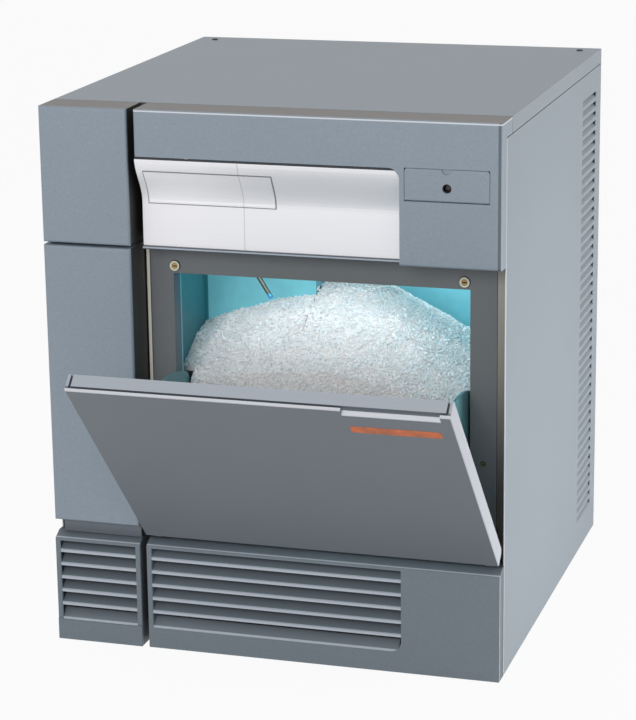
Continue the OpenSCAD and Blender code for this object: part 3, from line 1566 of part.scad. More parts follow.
module gear_case() {
    neck_r = head_r;
    color("#54585c") at_freezer() difference() {
        union() {
            rotate_extrude() polygon([[0, stand_z], [gear_r - 6, stand_z], [gear_r - 6, stand_z + 8],
                [gear_r - 12, stand_z + 12], [gear_r - 12, barrel_z0 - 22], [neck_r, barrel_z0 - 8],
                [neck_r, barrel_z0], [0, barrel_z0]]);
            // Flange for the motor
            translate([0, 0, motor_z]) rotate([-90, 0, 0]) cylinder(h = gear_r + 2, d = motor_d * 0.72);
        }
        translate([0, 0, stand_z + 20]) cylinder(h = gear_h, d = auger_shaft_d + 2 * run_gap);
    }
}

module drive_motor() {
    y0 = fy(freezer_d) + gear_r + over + fit;
    y1 = y0 + motor_l;
    box_x = freezer_x - motor_d / 2;
    body_d = motor_d - 2 * rib_h;
    ribs = 18;
    color("#5c6064") {
        rod_y(y0, y1, freezer_x, motor_z, body_d);
        rod_y(y0, y0 + motor_end, freezer_x, motor_z, motor_d);
        rod_y(y1 - motor_end, y1, freezer_x, motor_z, motor_d);
        for (i = [0 : ribs - 1]) translate([freezer_x, y0 + motor_end / 2, motor_z])
            rotate([0, i * 360 / ribs, 0]) translate([body_d / 2 - rib_h, 0, -rib_t / 2])
                cube([2 * rib_h - join, motor_l - motor_end, rib_t]);
        // Terminal housing on the side
        block(box_x - motor_box / 2, box_x + motor_box / 2, y0 + 2 * motor_end, y1 - 2 * motor_end,
            motor_z - motor_box / 2, motor_z + motor_box / 2);
    }
}

module freezer_barrel() {
    r = barrel_d / 2;
    o = r + barrel_t;
    z0 = barrel_z0 + fit;
    color("gainsboro") at_freezer() rotate_extrude() polygon([[r, z0], [head_r, z0], [head_r, z0 + flange_l],
        [o, z0 + flange_l], [o, barrel_z1 - flange_l], [head_r, barrel_z1 - flange_l], [head_r, barrel_z1],
        [r, barrel_z1]]);
}

// Evaporator tube wound close round the barrel
module evaporator_coil() {
    z0 = barrel_z0 + fit + 2 * flange_l + 1.5;
    turns = floor((barrel_h - 5 * flange_l) / coil_d);
    color("peru") at_freezer() rotate_extrude() difference() {
        union() {
            for (i = [0 : turns - 1])
                translate([coil_r, z0 + (i + 0.5) * coil_d]) circle(d = coil_d, $fn = 24);
            area(barrel_d / 2 + barrel_t + fit, coil_r, z0 + coil_d / 2, z0 + (turns - 0.5) * coil_d);
        }
        area(0, barrel_d / 2 + barrel_t + fit, z0 - over, barrel_z1);
    }
}

module freezer_jacket() {
    z0 = barrel_z0 + fit + flange_l + 1;
    z1 = barrel_z1 - flange_l - 1;
    color("khaki") at_freezer() difference() {
        rod_z(z0, z1, 0, 0, 2 * jacket_r);
        rod_z(z0 + flange_l, z1 - flange_l, 0, 0, 2 * jacket_in_r);
        rod_z(z0 - over, z1 + over, 0, 0, barrel_d + 2 * barrel_t + 2 * fit);
    }
}

bearing_in = 22;
auger_foot = 8;
auger_head = bearing_in + 4;
thread_w = 9;

module auger() {
    r = barrel_d / 2 - auger_gap;
    z0 = barrel_z0 + auger_foot;
    z1 = barrel_z1 - auger_head;
    turns = 6;
    color("lightgray") at_freezer() {
        translate([0, 0, z0]) linear_extrude(z1 - z0, twist = -360 * turns, slices = 8 * turns, $fn = 4) {
            circle(d = auger_core_d, $fn = 12);
            intersection() {
                circle(r = r, $fn = 36);
                translate([0, -thread_w / 2]) square([r + 1, thread_w]);
            }
        }
        rod_z(stand_z + 24, z0 + over, 0, 0, auger_shaft_d);
        rod_z(z1 - over, head_z1 - 10, 0, 0, auger_shaft_d);
    }
}

// Bearing housing with the ribs that break the ice column
module upper_bearing() {
    z0 = barrel_z1 - bearing_in;
    r = barrel_d / 2 - fit;
    window_z0 = spout_z0 + spout_t;
    color("darkgray") at_freezer() difference() {
        union() {
            rod_z(barrel_z1 + fit, head_z1, 0, 0, 2 * head_r);
            difference() {
                rod_z(z0, barrel_z1 + 1, 0, 0, 2 * r);
                for (i = [0 : 5]) rotate(i * 60) translate([auger_shaft_d / 2 + 5, -5, z0 - over])
                    cube([r, 10, barrel_z1 - z0 + 3 * over]);
            }
        }
        rod_z(z0 - over, head_z1 - 6, 0, 0, auger_shaft_d + 2 * run_gap);
        // Throat that turns the ice out to the spout
        difference() {
            rod_z(barrel_z1 + 4, head_z1 - 8, 0, 0, 2 * head_r - 8);
            rod_z(barrel_z1, head_z1, 0, 0, auger_shaft_d + 10);
        }
        translate([auger_shaft_d / 2 + 6, -spout_w * 0.36, max(window_z0, barrel_z1 + 4)])
            cube([head_r, spout_w * 0.72, head_z1 - 8 - max(window_z0, barrel_z1 + 4)]);
        for (i = [0 : 5]) rotate(i * 60) translate([auger_shaft_d / 2 + 5, -5, barrel_z1 - over])
            cube([r - auger_shaft_d / 2 - 6, 10, 4 + 2 * over]);
    }
}

// Water set

module float_tank() {
    y0 = fy(tank_d0);
    y1 = y0 + tank_l;
    color("whitesmoke") difference() {
        union() {
            block(tank_x0, tank_x1, y0, y1, tank_z0, tank_z1);
            // Lugs that hold the arm's pivot
            block(tank_x0 - 3, tank_x1, y0 - 3, y1 + 3, tank_z1 - 6, tank_z1);
            // Outlet to the barrel
            rod_z(tank_z0 - 14, tank_z0 + join, (tank_x0 + tank_x1) / 2, y0 + 22, hose_d - 3);
        }
        block(tank_x0 + tank_t, tank_x1 - tank_t, y0 + tank_t, y1 - tank_t, tank_z0 + tank_t, tank_z1 + over);
        rod_x(tank_x0 - over, tank_x1 + over, fy(float_axis_d), float_axis_z, float_pin_d + 2 * run_gap);
        rod_z(tank_z0 - 14 - over, tank_z0 + 2 * over, (tank_x0 + tank_x1) / 2, y0 + 22, hose_d - 6);
    }
}

float_drop = 26;
float_r = 16;
float_h = 24;
float_stem_d = 8;
float_arm_t = 6;

module float_arm() {
    x = (tank_x0 + tank_x1) / 2;
    y = fy(float_axis_d);
    y_float = fy(tank_d0 + tank_t + 1.5 * float_r);
    z = float_axis_z;
    t = float_arm_t / 2;
    color("orange") {
        rod_x(tank_x0 + join, tank_x1 - join, y, z, float_pin_d);
        block(x - t, x + t, y_float, y + float_pin_d, z - t, z + t);
        rod_z(z - float_drop - float_h / 2, z, x, y_float, float_stem_d);
        rod_z(z - float_drop - float_h, z - float_drop, x, y_float, 2 * float_r);
    }
}

inlet_l = 14;
spigot_l = 22;
rear_flange = 3;
tail_l = 40;
hose_bend_r = 24;

module water_inlet() {
    y0 = y_b - sheet_t - fit;
    y1 = y_b + fit + rear_flange;
    color("darkgoldenrod") difference() {
        union() {
            // Threaded end and flange outside the panel
            rod_y(y1 - join, y1 + inlet_l, inlet_x, inlet_z, inlet_d);
            rod_y(y_b + fit, y1, inlet_x, inlet_z, inlet_d + 2 * rear_flange);
            // Neck through the panel with its nut, and the hose tail
            rod_y(y0 - tail_l / 2, y1, inlet_x, inlet_z, inlet_neck_d);
            rod_y(y0 - rear_flange, y0, inlet_x, inlet_z, inlet_d + 2 * rear_flange);
            rod_y(y0 - tail_l, y0, inlet_x, inlet_z, hose_d - 3);
        }
        rod_y(y1, y1 + inlet_l + over, inlet_x, inlet_z, inlet_neck_d - rear_flange);
        rod_y(y0 - tail_l - over, y1 + over, inlet_x, inlet_z, hose_d / 2);
    }
}

// Hose from the inlet to the float tank's rim
module feed_hose() {
    y0 = y_b - sheet_t - tail_l - 2 * fit;
    y1 = fy(tank_d0 + tank_l / 2);
    x = (tank_x0 + tank_x1) / 2 + hose_d;
    color("lightgray") tube_line([[inlet_x, y0, inlet_z], [inlet_x, y1 + 2 * tail_l, inlet_z],
        [x, y1, inlet_z], [x, y1, tank_z1 + fit]], hose_d, hose_bend_r, 10);
}

// Hose from the bin's floor to the spigot in the rear panel
module drain_hose() {
    y0 = fy(drain_dd);
    y1 = y_b - sheet_t - fit;
    y2 = y_b + fit + rear_flange;
    color("gray") {
        difference() {
            union() {
                // Spigot and flange outside the panel
                rod_y(y2 - join, y2 + spigot_l, spigot_x, drain_z, drain_d);
                rod_y(y_b + fit, y2, spigot_x, drain_z, drain_d + 2 * rear_flange);
                // Neck through the panel, and the socket for the hose
                rod_y(y1 - join, y2, spigot_x, drain_z, spigot_neck_d);
                rod_y(y1 - tail_l, y1, spigot_x, drain_z, drain_d + rear_flange);
            }
            rod_y(y1 - tail_l / 2, y2 + spigot_l + over, spigot_x, drain_z, spigot_neck_d - rear_flange);
        }
        tube_line([[drain_x, y0, bin_floor - 1], [drain_x, y0, drain_z],
            [spigot_x, y0 + 1.5 * tail_l, drain_z], [spigot_x, y1 - tail_l + over, drain_z]],
            hose_d, hose_bend_r, 10);
    }
}

gland_nut = 7;
gland_hex_d = gland_bore_d + 14;
gland_cap = 14;

module cable_gland() {
    y0 = y_b - sheet_t - fit - gland_nut;
    color("#1e2022") difference() {
        union() {
            rod_y(y0 - over, y_b + gland_nut, gland_x, gland_z, gland_neck_d);
            for (y = [y0, y_b + fit]) translate([gland_x, y, gland_z]) rotate([-90, 0, 0])
                cylinder(h = gland_nut, d = gland_hex_d, $fn = 6);
            rod_y(y_b + gland_nut, y_b + gland_cap, gland_x, gland_z, gland_bore_d + 8);
        }
        rod_y(y0 - 2 * over, y_b + gland_cap + over, gland_x, gland_z, gland_bore_d);
    }
}

base_tray();
foot_nuts();
left_side_panel();
right_side_panel();
rear_panel();
top_cover();
top_cover_screws();
left_corner_post();
right_corner_post();
front_fascia();
trim_plate();
left_upper_panel();
left_middle_panel();
left_grille();
lower_grille();
bin_bezel();
bezel_cup_washers();
bezel_screws();
bin_liner();
bin_insulation();
bin_supports();
ice_heap();
bin_probe();
ice_spout();
door_panel();
door_liner();
hinge_brackets();
hinge_pins();
control_flap();
switch_panel();
switch_housing();
switch_rocker();
pilot_lamp();
control_box();
compressor();
compressor_grommets();
terminal_cover();
condenser_fins();
condenser_coil();
fan_shroud();
fan_motor();
fan_blade();
filter_drier();
discharge_line();
suction_line();
liquid_line();
freezer_stand();
gear_case();
drive_motor();
freezer_barrel();
evaporator_coil();
freezer_jacket();
auger();
upper_bearing();
float_tank();
float_arm();
water_inlet();
feed_hose();
drain_hose();
cable_gland();
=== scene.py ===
"""Finishes, flake ice and studio for the flake ice machine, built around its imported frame."""

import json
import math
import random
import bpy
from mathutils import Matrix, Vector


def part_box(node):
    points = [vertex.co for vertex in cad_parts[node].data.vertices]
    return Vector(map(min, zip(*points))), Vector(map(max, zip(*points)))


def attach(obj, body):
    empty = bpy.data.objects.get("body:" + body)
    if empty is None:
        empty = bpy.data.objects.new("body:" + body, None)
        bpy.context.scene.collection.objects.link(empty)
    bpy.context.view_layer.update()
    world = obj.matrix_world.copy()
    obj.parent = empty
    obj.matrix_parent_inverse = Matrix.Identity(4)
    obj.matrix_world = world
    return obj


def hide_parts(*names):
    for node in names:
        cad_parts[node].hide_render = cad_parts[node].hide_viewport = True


bl_info = {
    "name": "Flake Ice Machine",
    "version": (1, 0, 0),
    "blender": (4, 5, 0),
    "location": "View3D > Sidebar > Ice Machine",
    "description": "Dresses the packed flake ice machine: paint, trim, bin, flake ice and studio",
    "category": "Object",
}

import bmesh
import bpy
from bpy.props import FloatProperty, FloatVectorProperty, IntProperty, PointerProperty
from mathutils import Euler, Matrix, Vector
from mathutils.bvhtree import BVHTree

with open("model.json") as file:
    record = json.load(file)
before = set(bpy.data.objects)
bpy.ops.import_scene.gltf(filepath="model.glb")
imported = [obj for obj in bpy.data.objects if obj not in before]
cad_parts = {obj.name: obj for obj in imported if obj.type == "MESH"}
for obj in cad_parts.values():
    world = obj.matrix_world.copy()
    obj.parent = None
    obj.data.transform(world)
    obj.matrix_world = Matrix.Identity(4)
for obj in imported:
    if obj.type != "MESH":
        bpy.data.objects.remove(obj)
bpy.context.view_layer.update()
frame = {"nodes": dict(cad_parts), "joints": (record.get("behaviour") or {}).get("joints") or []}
NODES = frame["nodes"]
MM = 0.001

DOOR_JOINT = next(j for j in frame["joints"] if j["name"] == "door_tilt")
DOOR_ANGLE = math.radians(DOOR_JOINT["range_deg"][1])
DOOR_HINGE = Vector(DOOR_JOINT["pos_m"])
CABINET_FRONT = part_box("front_fascia")[0].y
CABINET_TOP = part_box("front_fascia")[1].z

# How brushed lines are drawn out: the same all ways, along the length or up and down
EVEN = (1.0, 1.0, 1.0)
LENGTHWISE = (0.05, 1.0, 1.0)
UPRIGHT = (1.0, 1.0, 0.05)


def linear(red, green, blue):
    """Turns a colour written as it looks on screen, 0 to 255, into the renderer's linear values."""
    shares = (channel / 255 for channel in (red, green, blue))
    return tuple(s / 12.92 if s <= 0.04045 else ((s + 0.055) / 1.055) ** 2.4 for s in shares)


def shade(colour, factor):
    """A colour made darker or lighter."""
    return tuple(min(channel * factor, 1.0) for channel in colour[:3])


# Shader maths


class Field:
    """A socket that takes part in Python arithmetic; each operation adds a Math node."""

    def __init__(self, surface, socket):
        self.surface = surface
        self.socket = socket

    def _math(self, operation, *values):
        return self.surface.node("ShaderNodeMath", {"operation": operation}, dict(enumerate(values)))

    def __add__(self, other):
        return self._math("ADD", self, other)

    def __sub__(self, other):
        return self._math("SUBTRACT", self, other)

    def __mul__(self, other):
        return self._math("MULTIPLY", self, other)

    def __rsub__(self, other):
        return self._math("SUBTRACT", other, self)

    def __abs__(self):
        return self._math("ABSOLUTE", self)

    def __lt__(self, other):
        return self._math("LESS_THAN", self, other)

    def __gt__(self, other):
        return self._math("GREATER_THAN", self, other)

    __radd__ = __add__
    __rmul__ = __mul__


class Surface:
    """A material under construction, with its Principled shader and object coordinates."""

    noise_middle = (0.3, 0.7)

    def __init__(self, name):
        self.material = bpy.data.materials.new(name)
        self.material.use_nodes = True
        self.tree = self.material.node_tree
        self.tree.nodes.clear()
        self.output = self.node("ShaderNodeOutputMaterial", out=None)
        self.shader = self.node("ShaderNodeBsdfPrincipled", out=None)
        self.tree.links.new(self.shader.outputs[0], self.output.inputs[0])
        self.place = self.node("ShaderNodeTexCoord", out="Object")

    @classmethod
    def on_tree(cls, tree):
        """Wraps a node tree that has no Principled shader, such as a world's, and empties it."""
        surface = cls.__new__(cls)
        surface.tree = tree
        tree.nodes.clear()
        return surface

    def node(self, kind, settings=None, values=None, out=0):
        """Adds a node, sets it up, then fills its sockets; gives one output, or the node itself for None."""
        node = self.tree.nodes.new(kind)
        for key, value in (settings or {}).items():
            setattr(node, key, value)
        for key, value in (values or {}).items():
            self.feed(node.inputs[key], value)
        return node if out is None else Field(self, node.outputs[out])

    def feed(self, socket, value):
        """Links a field to a socket, or sets the socket to a plain value."""
        if isinstance(value, Field):
            self.tree.links.new(value.socket, socket)
        elif hasattr(value, "__len__") and len(value) == 3 and len(socket.default_value) == 4:
            socket.default_value = (*value, 1.0)
        else:
            socket.default_value = value

    def set(self, **sockets):
        """Feeds the Principled shader; base_color stands for its Base Color socket, and so on."""
        for key, value in sockets.items():
            words = " ".join(word.capitalize() for word in key.split("_"))
            self.feed(self.shader.inputs["IOR" if words == "Ior" else words], value)

    def noise(self, scale, detail=2.0, stretch=None, roughness=0.5):
        """Noise on the object, drawn out where stretch is less than 1."""
        place = self.place
        if stretch:
            place = self.node("ShaderNodeMapping", None, {"Vector": place, "Scale": stretch})
        return self.node("ShaderNodeTexNoise", None,
                         {"Vector": place, "Scale": scale, "Detail": detail, "Roughness": roughness}, "Fac")

    def axis(self, name):
        """One coordinate of the object."""
        return self.node("ShaderNodeSeparateXYZ", None, {0: self.place}, name)

    def remap(self, field, start, end, low, high):
        """Maps start to end onto low to high, and holds the ends."""
        return self.node("ShaderNodeMapRange", {"clamp": True},
                         {"Value": field, "From Min": start, "From Max": end, "To Min": low, "To Max": high})

    def spread(self, field, low, high):
        """Stretches the middle of a noise field over the range from low to high."""
        return self.remap(field, *self.noise_middle, low, high)

    def fade(self, axis, start, end, low=0.0, high=1.0):
        """Runs from low to high between two values of a coordinate."""
        return self.remap(self.axis(axis), start, end, low, high)

    def within(self, axis, low=None, high=None):
        """1 where a coordinate lies between two values, 0 elsewhere."""
        place = self.axis(axis)
        if low is None:
            return place < high
        return place > low if high is None else (place > low) * (place < high)

    def closed_door(self):
        """Depth and height on the door as it stands when it is shut."""
        depth, height = self.axis("Y") - DOOR_HINGE.y, self.axis("Z") - DOOR_HINGE.z
        c, s = math.cos(DOOR_ANGLE), math.sin(DOOR_ANGLE)
        return depth * c + height * s + DOOR_HINGE.y, height * c - depth * s + DOOR_HINGE.z

    def mix(self, factor, first, second):
        """Blends two colours."""
        return self.node("ShaderNodeMix", {"data_type": "RGBA"}, {0: factor, 6: first, 7: second}, 2)

    def mottled(self, field, colour, low, high):
        """A colour that wanders between two shades of itself."""
        return self.mix(self.spread(field, 0.0, 1.0), shade(colour, low), shade(colour, high))

    def marked(self, tone, marks):
        """Lays marks, each a mask and its colour, over a tone."""
        for mask, tint in marks:
            tone = self.mix(mask(self), tone, tint)
        return tone

    def bump(self, height, strength, distance):
        """A normal that follows a height field."""
        return self.node("ShaderNodeBump", None,
                         {"Height": height, "Strength": strength, "Distance": distance}, "Normal")


# Finishes


def grained_paint(name, colour, grain, mottle, roughness, bump, marks=()):
    """Satin paint or moulding with a fine grain and a faint cloud; marks colour parts of it."""
    s = Surface(name)
    speck = s.noise(scale=grain, detail=3.0, roughness=0.65)
    cloud = s.noise(scale=14.0)
    tone = s.mottled(speck, colour, low=1.0 - mottle, high=1.0 + mottle)
    tone = s.mix(s.spread(cloud, low=0.0, high=0.35), tone, shade(colour, 0.93))
    s.set(base_color=s.marked(tone, marks),
          roughness=s.spread(speck, low=roughness - 0.05, high=roughness + 0.06),
          normal=s.bump(speck, strength=bump, distance=0.12 * MM))
    return s.material


def brushed_trim(name, colour, seam_x, marks):
    """Bright plate brushed along its length, with the fine seam where its two halves meet."""
    s = Surface(name)
    lines = s.noise(scale=900.0, stretch=(0.02, 1.0, 1.0))
    cloud = s.noise(scale=9.0, detail=1.0)
    half_seam, seam_strength = 0.45 * MM, 0.55
    seam = abs(s.axis("X") - seam_x) < half_seam
    tone = s.mix(s.spread(lines, low=0.0, high=0.5), colour, shade(colour, 0.96))
    tone = s.mix(s.spread(cloud, low=0.0, high=0.3), tone, shade(colour, 0.97))
    tone = s.mix(seam * seam_strength, tone, shade(colour, 0.45))
    s.set(base_color=s.marked(tone, marks), metallic=0.15, roughness=s.spread(lines, low=0.30, high=0.40),
          normal=s.bump(lines, strength=0.05, distance=0.03 * MM))
    return s.material


def brushed_sheet(name, colour, roughness, stretch, marks=()):
    """Plated or turned metal with fine drawn lines."""
    s = Surface(name)
    lines = s.noise(scale=700.0, stretch=stretch)
    spangle = s.noise(scale=45.0, detail=3.0)
    tone = s.mottled(spangle, colour, low=0.88, high=1.06)
    s.set(base_color=s.marked(tone, marks), metallic=0.9,
          roughness=s.spread(lines, low=roughness - 0.06, high=roughness + 0.08),
          normal=s.bump(lines, strength=0.08, distance=0.03 * MM))
    return s.material


def smooth_plastic(name, colour, roughness, mottle=0.05, scale=60.0, marks=()):
    """Moulded plastic with a faint flow and a soft orange peel."""
    s = Surface(name)
    flow = s.noise(scale=scale, detail=3.0)
    peel = s.noise(scale=900.0, detail=1.0)
    tone = s.mottled(flow, colour, low=1.0 - mottle, high=1.0 + mottle)
    s.set(base_color=s.marked(tone, marks),
          roughness=s.spread(flow, low=roughness - 0.04, high=roughness + 0.06),
          normal=s.bump(peel, strength=0.06, distance=0.04 * MM))
    return s.material


def cast_paint(name, colour):
    """Painted casting with a coarse skin."""
    s = Surface(name)
    skin = s.noise(scale=420.0, detail=4.0)
    s.set(base_color=s.mottled(skin, colour, low=0.85, high=1.1), roughness=s.spread(skin, low=0.45, high=0.62),
          normal=s.bump(skin, strength=0.25, distance=0.2 * MM))
    return s.material


def foam_skin(name, colour):
    """Moulded foam with open pores."""
    s = Surface(name)
    pores = s.noise(scale=650.0, detail=4.0)
    s.set(base_color=s.mottled(pores, colour, low=0.8, high=1.0), roughness=0.85,
          normal=s.bump(pores, strength=0.5, distance=0.4 * MM))
    return s.material


def flake_ice(name, colour, hollow_colour, edge_colour, walls):
    """Wet flakes: white where they crowd the surface, cooler in the hollows, and darker and bluer by the two side
    walls, partly as wetter ice and partly as painted shade.
    """
    s = Surface(name)
    cloud = s.noise(scale=60.0, detail=3.0)
    frost = s.noise(scale=420.0, detail=3.0)
    chips = s.noise(scale=240.0)
    wall_shade_width = 30 * MM
    tone = s.mix(s.spread(cloud, low=0.0, high=0.7), colour, hollow_colour)
    tone = s.mix(s.spread(chips, low=0.0, high=0.45), tone, hollow_colour)
    # By the side walls the flakes darken: partly wetter ice, partly painted shade
    for wall, reach in zip(walls, (wall_shade_width, -wall_shade_width)):
        edge = s.fade("X", wall, wall + reach, low=0.6, high=0.0) * s.spread(cloud, low=0.4, high=1.0)
        tone = s.mix(edge, tone, edge_colour)
    s.set(base_color=tone, roughness=s.spread(frost, low=0.2, high=0.45),
          normal=s.bump(frost, strength=0.12, distance=0.15 * MM))
    return s.material


def lamp_lens(name, colour):
    """Tinted lens that lets a little light through."""
    s = Surface(name)
    cloud = s.noise(scale=240.0)
    s.set(base_color=s.mottled(cloud, colour, low=0.8, high=1.15), roughness=0.18,
          transmission_weight=0.25, ior=1.49)
    return s.material


# Sizes and colours a user would change

COLOUR = {"subtype": "COLOR", "size": 3, "min": 0.0, "max": 1.0}
LENGTH = {"subtype": "DISTANCE", "unit": "LENGTH"}
ANGLE = {"subtype": "ANGLE", "unit": "ROTATION"}
POWER = {"unit": "POWER", "min": 0.0}


class CabinetFinish(bpy.types.PropertyGroup):
    """Colours and grain of the painted and moulded pieces."""

    sheet_colour: FloatVectorProperty(
        name="Sheet paint", description="Paint of the side, top and rear sheets",
        default=linear(136, 147, 157), **COLOUR)
    front_colour: FloatVectorProperty(
        name="Front mouldings", description="Colour of the moulded front panels",
        default=linear(140, 152, 164), **COLOUR)
    # The grille panels' colour is the front moulding paint painted darker, as shade under the light from above
    lower_shaded_colour: FloatVectorProperty(
        name="Lower mouldings", description="Colour of the two grille panels",
        default=linear(112, 122, 131), **COLOUR)
    # The door's colour is the front moulding paint painted darker, as shade on its downward-tilted face
    door_shaded_colour: FloatVectorProperty(
        name="Door", description="Colour of the tilting door's outer panel",
        default=linear(106, 113, 121), **COLOUR)
    trim_colour: FloatVectorProperty(
        name="Trim plate", description="Colour of the bright plate above the door",
        default=linear(250, 249, 253), **COLOUR)
    stripe_colour: FloatVectorProperty(
        name="Door stripe", description="Colour of the stripe on the door",
        default=linear(196, 98, 44), **COLOUR)
    edge_round: FloatProperty(
        name="Edge rounding", description="Width of the softened edges",
        min=0.0, max=2 * MM, default=0.6 * MM, **LENGTH)
    grain: FloatProperty(
        name="Grain", description="Fineness of the paint's grain", min=100.0, max=3000.0, default=900.0)


class BinFinish(bpy.types.PropertyGroup):
    """Colours of the bin and the flakes in it."""

    liner_colour: FloatVectorProperty(
        name="Bin liner", description="Colour of the bin's moulded liner",
        default=linear(128, 204, 216), **COLOUR)
    cheek_colour: FloatVectorProperty(
        name="Door liner", description="Colour of the door's inner liner",
        default=linear(92, 146, 152), **COLOUR)
    bezel_colour: FloatVectorProperty(
        name="Bin frame", description="Colour of the frame round the bin's mouth",
        default=linear(109, 113, 116), **COLOUR)
    ice_colour: FloatVectorProperty(
        name="Ice", description="Colour of the flakes", default=linear(254, 248, 246), **COLOUR)
    flake_size: FloatProperty(
        name="Flake size", description="Mean radius of a flake",
        min=MM, max=10 * MM, default=2.5 * MM, **LENGTH)
    flake_spacing: FloatProperty(
        name="Flake spacing", description="Distance between neighbouring flakes",
        min=2 * MM, max=20 * MM, default=2.6 * MM, **LENGTH)
    seed: IntProperty(name="Seed", description="Start of the flakes' random draws", min=0, default=7)


class StudioFinish(bpy.types.PropertyGroup):
    """Camera, floor and lamps."""

    azimuth: FloatProperty(
        name="Azimuth", description="Camera's turn to the right of the front",
        default=math.radians(16.992), **ANGLE)
    elevation: FloatProperty(
        name="Elevation", description="Camera's height angle", default=math.radians(15.271), **ANGLE)
    roll: FloatProperty(name="Roll", description="Camera's roll", default=math.radians(-0.749), **ANGLE)
    focal_length: FloatProperty(
        name="Focal length", description="Lens on a sensor 36 millimetres wide",
        unit="CAMERA", min=10.0, default=126.02)
    position: FloatVectorProperty(
        name="Camera position", description="Place of the camera in the part's frame",
        subtype="TRANSLATION", unit="LENGTH", size=3, default=(0.79593, -2.69087, 1.03318))
    floor_colour: FloatVectorProperty(
        name="Floor", description="Colour of the floor and backdrop", default=(0.78, 0.78, 0.78), **COLOUR)
    key_power: FloatProperty(
        name="Key lamp", description="Power of the lamp in front", default=50.0, **POWER)
    top_power: FloatProperty(
        name="Top lamp", description="Power of the lamp overhead", default=7.0, **POWER)
    side_power: FloatProperty(
        name="Side lamp", description="Power of the low lamp to the right", default=7.5, **POWER)
    bin_power: FloatProperty(
        name="Bin lamp", description="Power of the lamp behind the lip of the bin's ceiling",
        default=0.125, **POWER)
    sky: FloatProperty(name="Sky", description="Strength of the even light all round", min=0.0, default=0.4)


# Building helpers


def dress(material, *names):
    """Gives CAD nodes a finish."""
    for name in names:
        slots = NODES[name].data.materials
        slots.clear()
        slots.append(material)


def soften(width, *names):
    """Rounds the sharp edges of CAD nodes a little, so that they catch the light."""
    sharp = math.radians(40)
    for name in names:
        edge = NODES[name].modifiers.new("soft_edges", "BEVEL")
        edge.width = width
        edge.segments = 2
        edge.limit_method = "ANGLE"
        edge.angle_limit = sharp


def mesh_from(bm, name):
    """Turns a finished bmesh into a mesh."""
    mesh = bpy.data.meshes.new(name)
    bm.to_mesh(mesh)
    bm.free()
    return mesh


def piece(name, mesh, material):
    """Links a new object and gives it a finish."""
    obj = bpy.data.objects.new(name, mesh)
    bpy.context.scene.collection.objects.link(obj)
    mesh.materials.append(material)
    return obj


# Operators


class ICEMACHINE_OT_cabinet(bpy.types.Operator):
    """Paint the cabinet's sheets"""

    bl_idname = "icemachine.cabinet"
    bl_label = "Cabinet sheets"
    bl_options = {"REGISTER", "UNDO"}

    # Painted highlight along the front edge of the sides, dark seams of the cover, heights between which the posts
    # darken
    highlight_edge = 1.6 * MM
    seam_width = 0.9 * MM
    post_fade = (0.42, 0.2)
    edge_colour = linear(226, 227, 234)
    seam_colour = linear(72, 76, 80)
    screw_colour = linear(58, 58, 60)
    post_colour = linear(168, 162, 154)
    post_foot_colour = linear(74, 67, 60)

    def execute(self, context):
        finish = context.scene.ice_cabinet
        paint = {"colour": finish.sheet_colour, "grain": finish.grain,
                 "mottle": 0.11, "roughness": 0.42, "bump": 0.10}
        dress(grained_paint("sheet_paint", **paint), "rear_panel")
        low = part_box("top_cover")[0]
        seams = [(lambda s: s.within("Y", high=low.y + self.seam_width), self.seam_colour),
                 (lambda s: s.within("Z", high=low.z + self.seam_width), self.seam_colour)]
        dress(grained_paint("cover_paint", **paint, marks=seams), "top_cover")
        soften(finish.edge_round / 2, "top_cover")
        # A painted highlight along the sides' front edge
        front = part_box("right_side_panel")[0].y + self.highlight_edge
        edges = [(lambda s: s.within("Y", high=front), self.edge_colour)]
        dress(grained_paint("side_paint", **paint, marks=edges), "left_side_panel", "right_side_panel")
        dress(brushed_sheet("blackened_screw", self.screw_colour, roughness=0.4, stretch=EVEN), "top_cover_screws")
        feet = [(lambda s: s.fade("Z", *self.post_fade, high=0.9), self.post_foot_colour)]
        dress(grained_paint("primed_post", self.post_colour, finish.grain, mottle=0.05, roughness=0.5, bump=0.08,
                            marks=feet), "left_corner_post", "right_corner_post")
        return {"FINISHED"}


